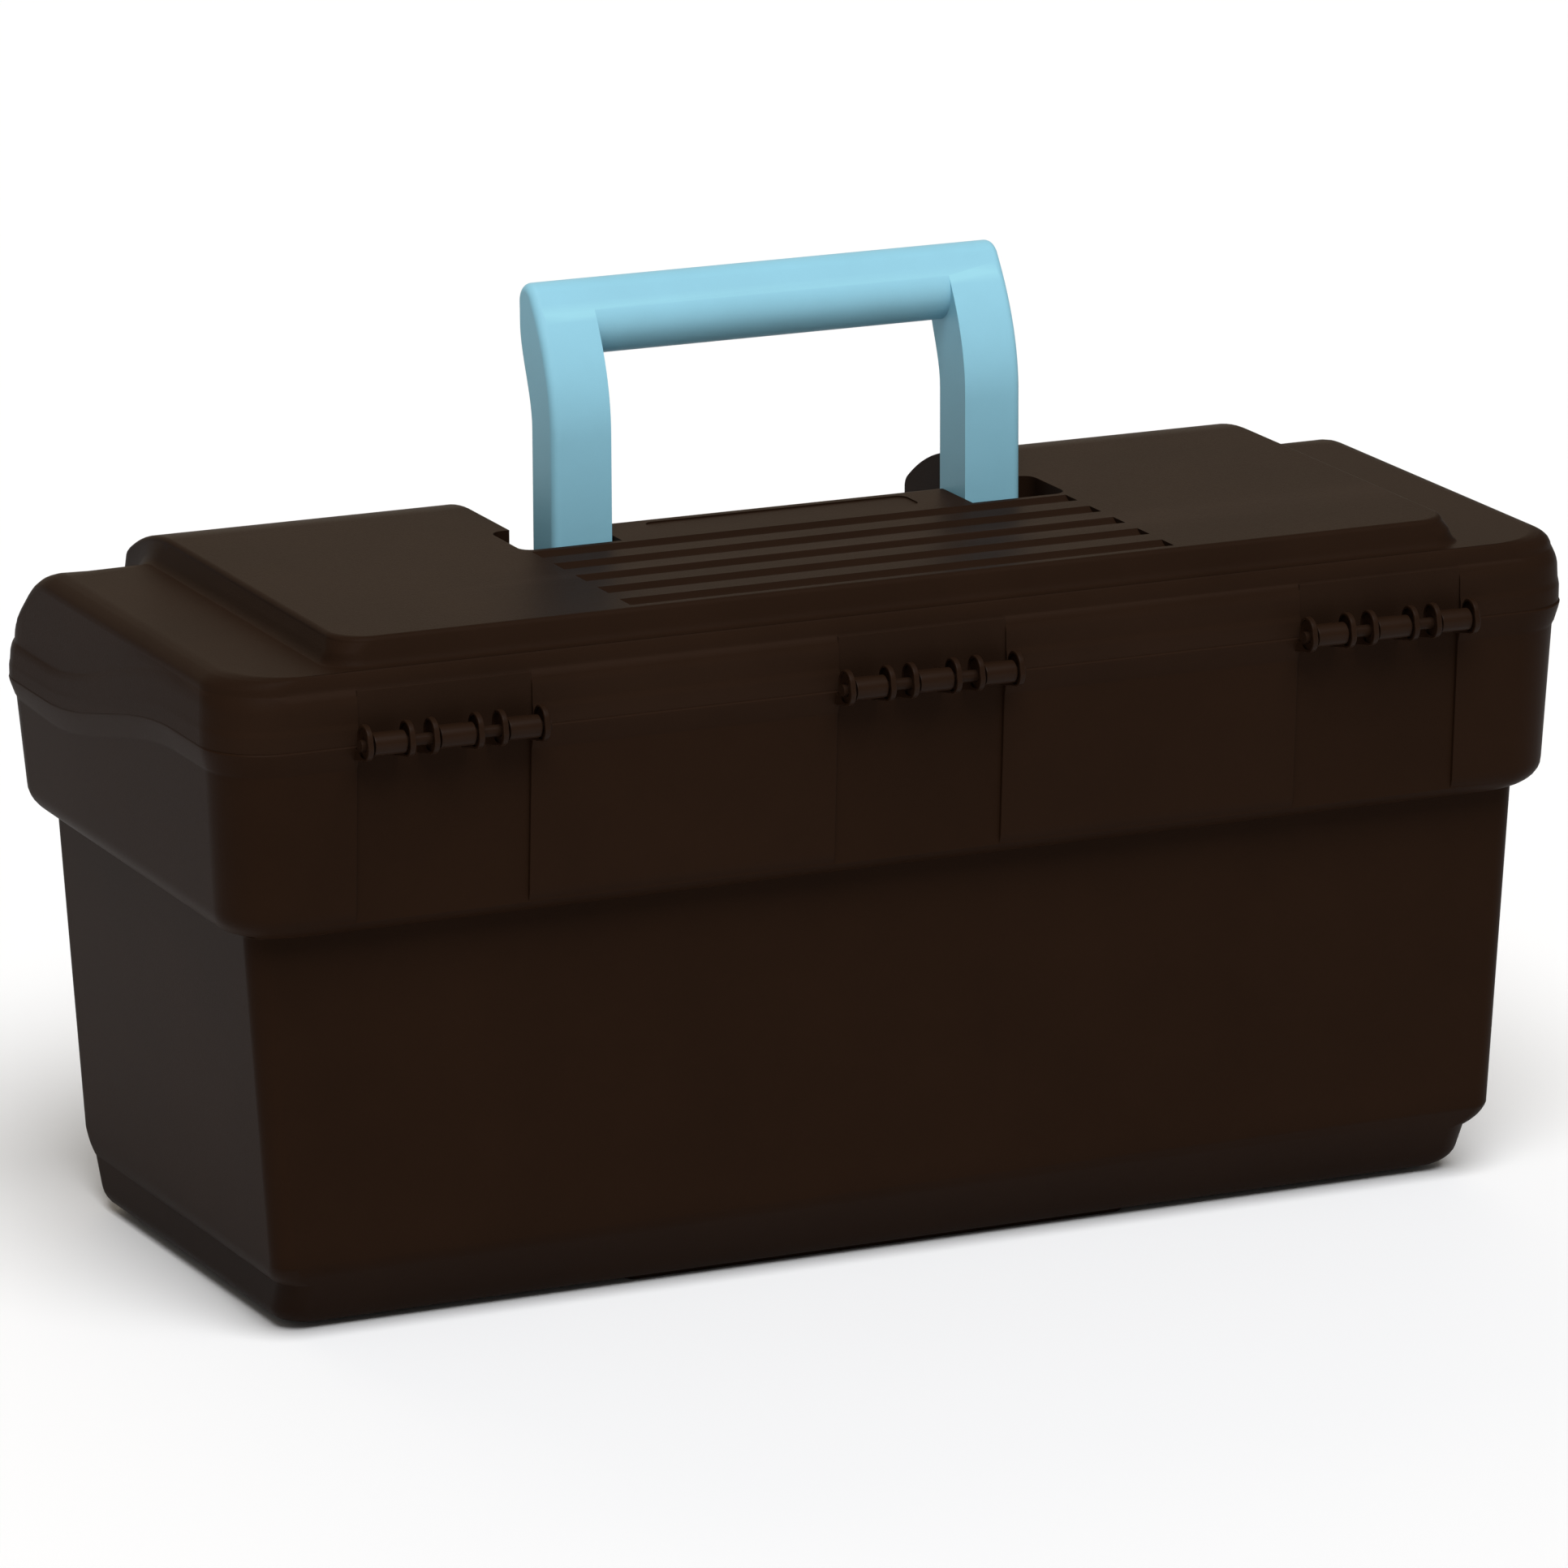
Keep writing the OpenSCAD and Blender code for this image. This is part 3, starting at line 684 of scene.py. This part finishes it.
def make_body():
    obj = loft("bin", foot_rings() + wall_rings() + rim_rings() + inside_rings())
    recess = [(RECESS_LOW_Y, COLLAR_LOW), (FAR, COLLAR_LOW), (FAR, RECESS_TOP), (RECESS_TOP_Y, RECESS_TOP)]
    for h in HINGES:
        cut(obj, prism("recess", recess, h - PLATE_HALF, h + PLATE_HALF))
    merge_flat(obj)
    soften(obj, RECESS_EDGE, recess_edge, segments=2)
    join(obj, [make_pad()] + [make_catch(c) for c in LATCHES])
    return obj


# Hinge ears
def one_ear():
    """Tall rounded tab round the pin, dished on both faces, on a short arm."""
    root = RECESS_Y - ARM_ROOT
    outline = arc(PIN_Y, PIN_Z, EAR_RADIUS, -90, 0, steps=10)
    outline += arc(PIN_Y - EAR_BACK, PIN_Z + EAR_RISE, EAR_RADIUS - EAR_BACK, 0, 180, steps=22)
    outline += [(PIN_Y - EAR_RADIUS + ARM_IN, PIN_Z - ARM_TOP), (root, PIN_Z - ARM_TOP),
                (root, PIN_Z - EAR_RADIUS - ARM_TOP)]
    face = EAR_WIDTH / 2
    made = prism("hinge_ears", outline, -face, face)
    soften(made, EAR_EDGE, lambda x, y, z: y > RECESS_Y)
    dish = arc(PIN_Y, PIN_Z, DISH_RADIUS, 180, 360, steps=18)
    dish += arc(PIN_Y - EAR_BACK, PIN_Z + DISH_RISE, DISH_TOP_RADIUS, 0, 180, steps=18)
    for side in (-1, 1):
        cut(made, prism("dish", dish, side * (face - DISH_DEEP), side * (face + DISH_OVER)))
    return cut(made, prism("hole", disc(PIN_Y, PIN_Z, EAR_HOLE), -EAR_WIDTH, EAR_WIDTH))


def make_ears():
    obj = one_ear()
    work = bmesh.new()
    for h in HINGES:
        for e in EARS:
            first = len(work.verts)
            work.from_mesh(obj.data)
            work.verts.ensure_lookup_table()
            bmesh.ops.translate(work, verts=work.verts[first:], vec=((h + e + EAR_SHIFT) * MM, 0, 0))
    work.to_mesh(obj.data)
    work.free()
    return obj


# Lid
def tier_rings():
    rings = []
    for dx, dy, share, h in LID_BAND:
        front = -RIM_Y + min(dy, dx)
        rings.append(ring(RIM_X - dx, RIM_Y - dy, front, RIM_RADIUS + dx / 2, band_at(share, h)))
    rear = RIM_Y - TIER_BACK
    rings.append(ring(RIM_X - ROLL_FOOT_X, rear - ROLL_FOOT_REAR, -RIM_Y + ROLL_FOOT_FORE, ROLL_FOOT_RADIUS,
                      tier_at(ROLL_FOOT_Z, ROLL_FOOT_LEAST)))
    for angle, more in ROLL_TURNS:
        turn = 1 - math.cos(math.radians(angle))
        fall = 1 - math.sin(math.radians(angle))
        rings.append(ring(RIM_X - ROLL_INSET - ROLL_X * turn, rear - ROLL_REAR - ROLL_Y * turn - more,
                          -RIM_Y + TIER_FORE + ROLL_FORE * turn, TIER_RADIUS,
                          tier_at(-ROLL_Z * fall, ROLL_LEAST - ROLL_LEAST_FALL * fall)))
    return rings


def block_rings():
    rings = []
    for dx, rear, h in BLOCK_FOOT:
        front = BLOCK_FORE - dx * BLOCK_FOOT_FORE
        rings.append(ring(BLOCK_X + dx, rear, front, BLOCK_RADIUS + dx, foot_at(h)))
    for a in turns(BLOCK_STEPS, 0, 90):
        inset = BLOCK_EDGE * (1 - math.cos(a))
        rings.append(ring(BLOCK_X - BLOCK_DRAFT_X - inset, BLOCK_REAR - BLOCK_DRAFT_REAR - inset,
                          BLOCK_FORE + BLOCK_DRAFT_FORE + inset, BLOCK_RADIUS,
                          block_at(-BLOCK_EDGE * (1 - math.sin(a)))))
    return rings


def under_tier(y):
    return tier(y) - LID_WALL


def cavity_rings():
    x = BLOCK_X - LID_WALL
    rear = BLOCK_REAR - LID_WALL
    skirt_x = RIM_X - SKIRT
    skirt_y = RIM_Y - SKIRT
    skirt_radius = RIM_RADIUS - SKIRT
    return [
        ring(x - BLOCK_DRAFT_X, rear - BLOCK_DRAFT_REAR, BLOCK_FORE + 2 * LID_WALL, CAVITY_RADIUS,
             block_at(-LID_WALL)),
        ring(x, rear, BLOCK_FORE + LID_WALL + CAVITY_FORE, CAVITY_RADIUS, under_tier),
        ring(RIM_X - TIER_SIDE - LID_WALL, RIM_Y - TIER_BACK - LID_WALL, -RIM_Y + TIER_FORE + LID_WALL,
             TIER_CAVITY_RADIUS, under_tier),
        even(skirt_x - SKIRT_SLOPE, skirt_y - SKIRT_SLOPE, skirt_radius, band_at(SKIRT_SHARE)),
        even(skirt_x, skirt_y, skirt_radius, band_at(0)),
        even(skirt_x + SKIRT_DRAFT, skirt_y + SKIRT_DRAFT, skirt_radius, band_at(0, -SKIRT_BELOW)),
    ]


def pocket(name, grow):
    """Room that the handle folds into; grow adds the walls round it."""
    rear = SLOT_REAR + grow
    front = -RIM_Y - SLOT_OVER
    low = SLOT_Z - grow
    low_front = SLOT_Z_FRONT - grow
    side = [(rear, SLOT_TOP), (rear, low), (SLOT_BEND, low), (SLOT_DIP, low_front), (front, low_front),
            (front, SLOT_TOP)]
    made = prism(name, side, -SLOT_X - grow, SLOT_X + grow)
    hollow = rounded(-HOLLOW_X - grow, HOLLOW_X + grow, HOLLOW_FRONT - grow, rear + OVERLAP, HOLLOW_RADIUS)
    return cut(made, slab("hollow", hollow, low - OVERLAP, HOLLOW_TOP), "UNION")


def axle_bar(name):
    low = SLOT_Z - BAR_LOW
    top = LID_TOP + BAR_OVER
    rear = SLOT_REAR + BAR_BEHIND
    middle = BAR_FRONT + BAR_ROUND
    outline = arc(middle, LID_TOP - BAR_ROUND, BAR_ROUND, 90, 180, steps=10)
    outline += [(BAR_FRONT, low), (rear, low), (rear, top), (middle + BAR_MEETS, top)]
    return prism(name, outline, -BAR_X, BAR_X)


def lug(x):
    root = BLOCK_FORE + LUG_ROOT
    outline = arc(LATCH_Y, LATCH_Z, LUG_RADIUS, 90, 270, steps=20)
    outline += [(root, LATCH_Z - LUG_RADIUS), (root, LATCH_Z + LUG_RADIUS)]
    made = prism("lug", outline, x - LUG_HALF, x + LUG_HALF)
    soften(made, LUG_EDGE, lambda a, b, c: b < BLOCK_FORE)
    return made


def hinge_plate(h):
    outline = oblong(h - PLATE_HALF, h + PLATE_HALF, PLATE_Y - PLATE_THICK, PLATE_Y + PLATE_PROUD)
    made = slab("plate", outline, PART_REAR + PLATE_LOW, PLATE_TOP)
    soften(made, PLATE_EDGE, lambda x, y, z: y > PLATE_Y - NEAR, segments=2)
    return made


def groove_edge(x, y, z):
    on_top = abs(z - block(y)) < GROOVE_EDGE_NEAR
    return on_top and abs(x) < GROOVE_X + EDGE_BESIDE and SLOT_REAR < y < GROOVE_REAR


def pocket_edge(x, y, z):
    on_top = z > POCKET_EDGE_LOW and z > block(y) - POCKET_EDGE_DEEP
    return on_top and abs(x) < HOLLOW_X + EDGE_BESIDE and y < SLOT_REAR + POCKET_EDGE_BEHIND


def plate_edge(x, y, z):
    return y > PLATE_Y - NEAR and beside_hinge(x)


def cut_grooves(obj):
    for i in range(GROOVE_COUNT):
        middle = GROOVE_FIRST + GROOVE_PITCH * i
        cut(obj, prism("groove", disc(middle, GROOVE_Z, GROOVE_RADIUS), -GROOVE_X, GROOVE_X))
    merge_flat(obj)
    soften(obj, GROOVE_EDGE, groove_edge, least=30, segments=4)


def cut_inside(obj):
    cut(obj, cut(loft("cavity", cavity_rings()), pocket("walls", WALL)))
    cut(obj, cut(pocket("room", 0.0), axle_bar("bar")))
    merge_flat(obj)
    soften(obj, POCKET_EDGE, pocket_edge, least=50)


def cut_bar(obj):
    panel = rounded(-PANEL_X, PANEL_X, PANEL_FRONT, PANEL_REAR, PANEL_RADIUS)
    cut(obj, slab("panel", panel, LID_TOP - PANEL_DEEP, LID_TOP + PANEL_OVER))
    core = rounded(-CORE_X, CORE_X, CORE_FRONT, SLOT_REAR, CORE_RADIUS)
    cut(obj, slab("core", core, SLOT_Z - CORE_LOW, LID_TOP - CORE_ROOF))


def cut_plates(obj):
    for h in HINGES:
        behind = oblong(h - PLATE_HALF, h + PLATE_HALF, PLATE_Y, FAR)
        cut(obj, slab("plate", behind, PLATE_CUT_LOW, PLATE_TOP))
    merge_flat(obj)
    soften(obj, PLATE_CUT_EDGE, plate_edge, segments=2)


def make_lid():
    obj = loft("lid_shell", tier_rings() + block_rings())
    cut_grooves(obj)
    cut_inside(obj)
    cut_bar(obj)
    cut_plates(obj)
    lugs = [lug(c + side * (LATCH_WIDTH / 2 + LUG_GAP)) for c in LATCHES for side in (-1, 1)]
    join(obj, [hinge_plate(h) for h in HINGES] + lugs)
    return obj


# Hinge knuckles
def knuckle(x, half):
    root = PLATE_Y - KNUCKLE_ROOT
    outline = arc(PIN_Y, PIN_Z, KNUCKLE_RADIUS, KNUCKLE_TOP_TURN, KNUCKLE_LOW_TURN, steps=32)
    outline += [(root, PIN_Z + KNUCKLE_LOW), (root, PIN_Z + KNUCKLE_TOP)]
    made = prism("hinge_knuckles", outline, x - half, x + half)
    soften(made, KNUCKLE_EDGE, lambda a, b, c: b > PLATE_Y, segments=2)
    return made


def make_knuckles():
    made = [knuckle(h + (a + b) / 2, (b - a) / 2 - KNUCKLE_GAP) for h in HINGES for a, b in KNUCKLES]
    join(made[0], made[1:])
    return made[0]


# Handle
def leg_front(z):
    return PIVOT_Y - LEG_RADIUS - LEAN * rise(z, LEAN_FROM, LEAN_TO)


def leg_rear(z):
    return PIVOT_Y + LEG_RADIUS - max(0.0, z - LEAN_FROM) ** 2 / LEAN_CURVE


def handle_outline():
    end = CROWN_Z + CROWN_RADIUS * math.sin(math.radians(CROWN_TURN))
    up_rear = [PIVOT_Z + (end - PIVOT_Z) * i / LEG_STEPS for i in range(LEG_STEPS)]
    down_front = [CROWN_Z + (PIVOT_Z - CROWN_Z) * i / LEG_STEPS for i in range(1, LEG_STEPS + 1)]
    outline = [(leg_rear(z), z) for z in up_rear]
    outline += arc(CROWN_Y, CROWN_Z, CROWN_RADIUS, CROWN_TURN, 180, steps=16)
    outline += [(leg_front(z), z) for z in down_front]
    return outline + arc(PIVOT_Y, PIVOT_Z, LEG_RADIUS, 180, 360, steps=20)[1:-1]


def window_outline():
    """Opening between the legs; its upper side is the round underside of the grip."""
    lean = math.atan(2 * (GRIP_TURN - LEAN_FROM) / LEAN_CURVE)
    away_y = math.cos(lean)
    away_z = math.sin(lean)
    y = leg_rear(GRIP_TURN)
    middle_y = y - GRIP_RADIUS * away_y
    middle_z = GRIP_TURN - GRIP_RADIUS * away_z
    low = middle_z - GRIP_RADIUS
    front = leg_front(middle_z)
    top = GRIP_TURN + WINDOW_OUT * away_z
    outline = [(front - WINDOW_OUT, WINDOW_LOW), (WINDOW_REAR, WINDOW_LOW), (WINDOW_REAR, top),
               (y + WINDOW_OUT * away_y, top)]
    outline += arc(middle_y, middle_z, GRIP_RADIUS, math.degrees(lean), -90, steps=18)
    outline += arc(front + GRIP_FRONT_RADIUS, low + GRIP_FRONT_RADIUS, GRIP_FRONT_RADIUS, -90, -180, steps=8)
    return outline + [(front - WINDOW_OUT, low + WINDOW_RISE)]


def leg_inner_edge(x, y, z):
    return abs(abs(x) - LEG_IN) < NEAR and z < GRIP_TURN - GRIP_EDGE_END


def make_handle():
    obj = prism("grip", handle_outline(), -LEG_OUT, LEG_OUT)
    soften(obj, LEG_EDGE, least=48, segments=6)
    cut(obj, prism("window", window_outline(), -LEG_IN, LEG_IN))
    merge_flat(obj)
    soften(obj, LEG_INNER_EDGE, leg_inner_edge, least=48, segments=5)
    stub = disc(PIVOT_Y, PIVOT_Z, STUB_RADIUS)
    ends = (LEG_IN - STUB_IN, LEG_IN + STUB_OUT)
    join(obj, [prism("stub", stub, side * ends[0], side * ends[1]) for side in (-1, 1)])
    return obj


# Latches
def latch_outline():
    """Latch as it hangs straight down from its pin."""
    inner = LATCH_Y - LATCH_OUT
    outer = inner - LATCH_THICK
    neck = LATCH_Z - LATCH_NECK
    hook = CATCH_TOP - HOOK_DROP
    tip = CATCH_Y + HOOK_IN
    low = hook - HOOK_THICK
    outline = arc(LATCH_Y, LATCH_Z, LATCH_RADIUS, -60, 180, steps=20)
    outline += [(outer, neck), (outer, low - PULL_HIGH), (inner - PULL_OUT, low - PULL_LOW),
                (inner - PULL_IN, low - PULL_LOW), (inner, low - PULL_HIGH), (inner, low)]
    return outline + [(tip, hook - HOOK_NOSE), (tip, hook), (inner, hook), (inner, neck)]


def make_latch(name, c):
    cos = math.cos(LATCH_AJAR)
    sin = math.sin(LATCH_AJAR)
    turned = []
    for y, z in latch_outline():
        dy = y - LATCH_Y
        dz = z - LATCH_Z
        turned.append((LATCH_Y + dy * cos + dz * sin, LATCH_Z - dy * sin + dz * cos))
    obj = prism(name, turned, c - LATCH_WIDTH / 2, c + LATCH_WIDTH / 2)
    soften(obj, LATCH_EDGE, least=30)
    return obj


# Tray
def tray_cell(i):
    pitch = 2 * TRAY_X / CELL_COUNT
    x0 = -TRAY_X + pitch * i + (TRAY_WALL if i == 0 else CELL_WALL)
    x1 = -TRAY_X + pitch * (i + 1) - (TRAY_WALL if i == CELL_COUNT - 1 else CELL_WALL)
    y = TRAY_Y - TRAY_WALL
    outlines = []
    for inset, h in CELL_SIDE:
        outline = rounded(x0 + inset, x1 - inset, -y + inset, y - inset, CELL_RADIUS)
        outlines.append([(px, py, TRAY_Z + h) for px, py in outline])
    return stack("cell", outlines)


def make_tray():
    rings = [even(TRAY_X - inset, TRAY_Y - inset, TRAY_RADIUS, at(TRAY_Z + h)) for inset, h in TRAY_SIDE]
    obj = loft("tray_shell", rings)
    for i in range(CELL_COUNT):
        cut(obj, tray_cell(i))
    return obj


# Shader helpers
def put(node, values):
    for name, value in values.items():
        node.inputs[name].default_value = value


def noise(tree, vector, values):
    made = tree.nodes.new("ShaderNodeTexNoise")
    put(made, values)
    tree.links.new(vector, made.inputs["Vector"])
    return made.outputs["Fac"]


def ramp(tree, value, positions, colours):
    made = tree.nodes.new("ShaderNodeValToRGB")
    for element, position, colour in zip(made.color_ramp.elements, positions, colours):
        element.position = position
        element.color = (*colour, 1)
    tree.links.new(value, made.inputs["Fac"])
    return made.outputs["Color"]


def map_range(tree, value, values, curve="LINEAR"):
    made = tree.nodes.new("ShaderNodeMapRange")
    made.interpolation_type = curve
    put(made, values)
    tree.links.new(value, made.inputs["Value"])
    return made.outputs["Result"]


def new_material(name):
    made = bpy.data.materials.new(name)
    made.use_nodes = True
    return made


def main_shader(material):
    return material.node_tree.nodes["Principled BSDF"]


# Plastic
CLOUD = {"Scale": 26.0, "Detail": 5.0, "Roughness": 0.6}
CLOUD_RANGE = (0.3, 0.7)
WORN_RANGE = (0.52, 0.62)
WORN_SHARE = 0.14
PALE_TIMES = 1.9
PALE_PLUS = 0.01
# Painted shade: share of the colour that is left at the ground
PAINTED_FOOT_SHADE = 0.75
GRAIN_DETAIL = 3.0
GRAIN_ROUGHNESS = 0.55
GRAIN_STRENGTH = 0.35
ROUGHNESS_SPREAD = 0.06


def paled(tree, base, colour):
    """Paler where the mesh has an outer edge, as handling leaves it."""
    geometry = tree.nodes.new("ShaderNodeNewGeometry")
    worn = ramp(tree, geometry.outputs["Pointiness"], WORN_RANGE, ((0, 0, 0), (WORN_SHARE,) * 3))
    made = tree.nodes.new("ShaderNodeMix")
    made.data_type = "RGBA"
    made.blend_type = "MIX"
    made.inputs["B"].default_value = (*[min(1, c * PALE_TIMES + PALE_PLUS) for c in colour], 1)
    tree.links.new(worn, made.inputs["Factor"])
    tree.links.new(base, made.inputs["A"])
    return made.outputs["Result"]


def painted_foot_shade(tree, base, place, foot):
    """Painted shade: darker towards the ground, between two heights in metres."""
    split = tree.nodes.new("ShaderNodeSeparateXYZ")
    tree.links.new(place, split.inputs["Vector"])
    heights = {"From Min": foot[0], "From Max": foot[1], "To Min": PAINTED_FOOT_SHADE, "To Max": 1.0}
    shade = map_range(tree, split.outputs["Z"], heights, "SMOOTHSTEP")
    made = tree.nodes.new("ShaderNodeMix")
    made.data_type = "RGBA"
    made.blend_type = "MULTIPLY"
    made.inputs["Factor"].default_value = 1.0
    tree.links.new(base, made.inputs["A"])
    tree.links.new(shade, made.inputs["B"])
    return made.outputs["Result"]


def plastic(name, colour, tones, roughness, specular, ior, grain, depth, foot=None):
    """Moulded plastic: cloudy colour, paled edges, fine grain and, where asked for, a foot darkened with
    painted shade.
    """
    made = new_material(name)
    tree = made.node_tree
    shader = main_shader(made)
    put(shader, {"Specular IOR Level": specular, "IOR": ior})
    place = tree.nodes.new("ShaderNodeTexCoord").outputs["Object"]
    tone_colours = [[c * tone for c in colour] for tone in tones]
    base = paled(tree, ramp(tree, noise(tree, place, CLOUD), CLOUD_RANGE, tone_colours), colour)
    if foot:
        base = painted_foot_shade(tree, base, place, foot)
    tree.links.new(base, shader.inputs["Base Color"])
    fine = noise(tree, place, {"Scale": grain, "Detail": GRAIN_DETAIL, "Roughness": GRAIN_ROUGHNESS})
    limits = {"To Min": roughness - ROUGHNESS_SPREAD, "To Max": roughness + ROUGHNESS_SPREAD}
    tree.links.new(map_range(tree, fine, limits), shader.inputs["Roughness"])
    bump = tree.nodes.new("ShaderNodeBump")
    put(bump, {"Strength": GRAIN_STRENGTH, "Distance": depth})
    tree.links.new(fine, bump.inputs["Height"])
    tree.links.new(bump.outputs["Normal"], shader.inputs["Normal"])
    return made


# Steel wire
LINES_STRETCH = (60, 2200, 2200)
STEEL_DARK = (0.42, 0.42, 0.43)
STEEL_LIGHT = (0.62, 0.62, 0.63)
STEEL_ROUGHNESS = {"To Min": 0.25, "To Max": 0.42}


def steel(name):
    """Drawn wire with fine lines along it."""
    made = new_material(name)
    tree = made.node_tree
    shader = main_shader(made)
    put(shader, {"Metallic": 1.0})
    place = tree.nodes.new("ShaderNodeTexCoord").outputs["Object"]
    stretch = tree.nodes.new("ShaderNodeMapping")
    put(stretch, {"Scale": LINES_STRETCH})
    tree.links.new(place, stretch.inputs["Vector"])
    lines = noise(tree, stretch.outputs["Vector"], {"Scale": 1.0})
    tree.links.new(ramp(tree, lines, (0.0, 1.0), (STEEL_DARK, STEEL_LIGHT)), shader.inputs["Base Color"])
    tree.links.new(map_range(tree, lines, STEEL_ROUGHNESS), shader.inputs["Roughness"])
    return made


# Colours and materials
BROWN = (0.016, 0.0072, 0.0035)
# Painted sheen: the lid's brown is paler and greyer than the bin's, standing in for the grey sheen that
# reflections give the lid
LID_BROWN_PAINTED_SHEEN = (0.0176, 0.0088, 0.005)
# Painted shade: the hinge pins are a darker copy of the bin's brown, for pins that lie in shade between the
# ears
PIN_PAINTED_SHADE = 0.85
PIN_BROWN_SHADED = tuple(c * PIN_PAINTED_SHADE for c in BROWN)
BLUE = (0.268, 0.555, 0.69)
# The bin's brown gets painted shade near the ground, between 6 and 30 mm
brown = plastic("brown_moulded", BROWN, tones=(0.93, 1.07), roughness=0.5, specular=0.075, ior=1.25,
                grain=2600.0, depth=0.00012, foot=(0.006, 0.03))
lid_brown_painted_sheen = plastic("brown_grained_painted_sheen", LID_BROWN_PAINTED_SHEEN, tones=(0.93, 1.08), roughness=0.46, specular=0.12, ior=1.14,
                    grain=2100.0, depth=0.00016)
blue = plastic("blue_moulded", BLUE, tones=(0.965, 1.035), roughness=0.42, specular=0.15, ior=1.3,
               grain=3000.0, depth=0.00005)
tray_blue = plastic("blue_tray", BLUE, tones=(0.95, 1.04), roughness=0.46, specular=0.15, ior=1.3,
                    grain=2600.0, depth=0.00006)
glossy_brown = plastic("brown_polished", BROWN, tones=(0.93, 1.07), roughness=0.4, specular=0.5, ior=1.14,
                       grain=2600.0, depth=0.00004)
pin_brown_painted_shade = plastic("brown_pin_painted_shade", PIN_BROWN_SHADED, tones=(0.92, 1.08), roughness=0.4, specular=0.12, ior=1.25,
                    grain=2800.0, depth=0.00005)
wire = steel("drawn_steel")

# Pieces
ready(make_body(), "body", "box", brown)
ready(make_ears(), "body", "box", glossy_brown)
ready(make_lid(), "lid", "lid", lid_brown_painted_sheen)
ready(make_knuckles(), "lid", "lid", glossy_brown)
ready(make_handle(), "handle", "handle", blue, sharp=40)
ready(make_latch("latch_plate_right", LATCHES[0]), "latch_right", "latch_right", blue)
ready(make_latch("latch_plate_left", LATCHES[1]), "latch_left", "latch_left", blue)
ready(make_tray(), "tray", "tray", tray_blue)
for name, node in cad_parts.items():
    if name.startswith("hinge_pin") or name.startswith("latch_pin"):
        node.data.materials.clear()
        node.data.materials.append(pin_brown_painted_shade if name.startswith("hinge_pin") else wire)

# Floor, in metres
FLOOR_HALF = 9
FLOOR_BELOW = -0.0002
FLOOR_LOOK = {"Base Color": (0.95, 0.96, 0.98, 1), "Roughness": 0.9, "Specular IOR Level": 0.0}
floor_mesh = bpy.data.meshes.new("floor")
floor_corners = [(x, y, FLOOR_BELOW) for x, y in oblong(-FLOOR_HALF, FLOOR_HALF, -FLOOR_HALF, FLOOR_HALF)]
floor_mesh.from_pydata(floor_corners, [], [(0, 1, 2, 3)])
floor = bpy.data.objects.new("floor", floor_mesh)
bpy.context.scene.collection.objects.link(floor)
pale = new_material("pale_floor")
put(main_shader(pale), FLOOR_LOOK)
floor_mesh.materials.append(pale)

# Light: a dim warm surround, a broad key from above the camera and a soft warm fill from the far side
SURROUND = {"Color": (1, 0.95, 0.88, 1), "Strength": 0.18}
world = bpy.data.worlds.new("studio")
world.use_nodes = True
bpy.context.scene.world = world
put(world.node_tree.nodes["Background"], SURROUND)


def sun(name, energy, angle, direction, colour=(1, 1, 1)):
    data = bpy.data.lights.new(name, "SUN")
    data.energy = energy
    data.angle = math.radians(angle)
    data.color = colour
    made = bpy.data.objects.new(name, data)
    made.rotation_euler = Vector(direction).to_track_quat("-Z", "Y").to_euler()
    bpy.context.scene.collection.objects.link(made)


sun("key", energy=3.0, angle=45, direction=(-0.1, -0.5, -0.86))
sun("fill", energy=0.6, angle=60, direction=(0.1, 0.92, -0.38), colour=(1, 0.84, 0.62))

# Camera, fitted to the photograph with another hinge pitch; its place is scaled to this one
FITTED_PITCH = 147
SCALE = HINGE_PITCH / FITTED_PITCH
AZIMUTH = math.radians(155.70403)
ELEVATION = math.radians(14.78231)
ROLL = math.radians(-0.2199)
DISTANCE = 2851.15
PAN = 3.96479
LIFT = 121.6294
SHIFT_Y = 6.3
PHOTO_PIXELS = 1932
FOCAL_PIXELS = 11794.0
SENSOR = 36.0
CLIP_NEAR = 0.1
CLIP_FAR = 50
back = Vector((math.sin(AZIMUTH) * math.cos(ELEVATION), -math.cos(AZIMUTH) * math.cos(ELEVATION),
               math.sin(ELEVATION)))
level = Vector((math.cos(AZIMUTH), math.sin(AZIMUTH), 0))
upright = back.cross(level)
right = level * math.cos(ROLL) + upright * math.sin(ROLL)
up = -level * math.sin(ROLL) + upright * math.cos(ROLL)
eye = back * DISTANCE - right * PAN + up * LIFT
eye.y += SHIFT_Y
camera_data = bpy.data.cameras.new("camera")
camera_data.sensor_width = SENSOR
camera_data.lens = FOCAL_PIXELS / PHOTO_PIXELS * SENSOR
camera_data.clip_start = CLIP_NEAR
camera_data.clip_end = CLIP_FAR
camera = bpy.data.objects.new("camera", camera_data)
bpy.context.scene.collection.objects.link(camera)
turn = Matrix((right, up, back)).transposed().to_4x4()
camera.matrix_world = Matrix.Translation(eye * SCALE * MM) @ turn
bpy.context.scene.camera = camera
bpy.context.scene.view_settings.view_transform = "Standard"
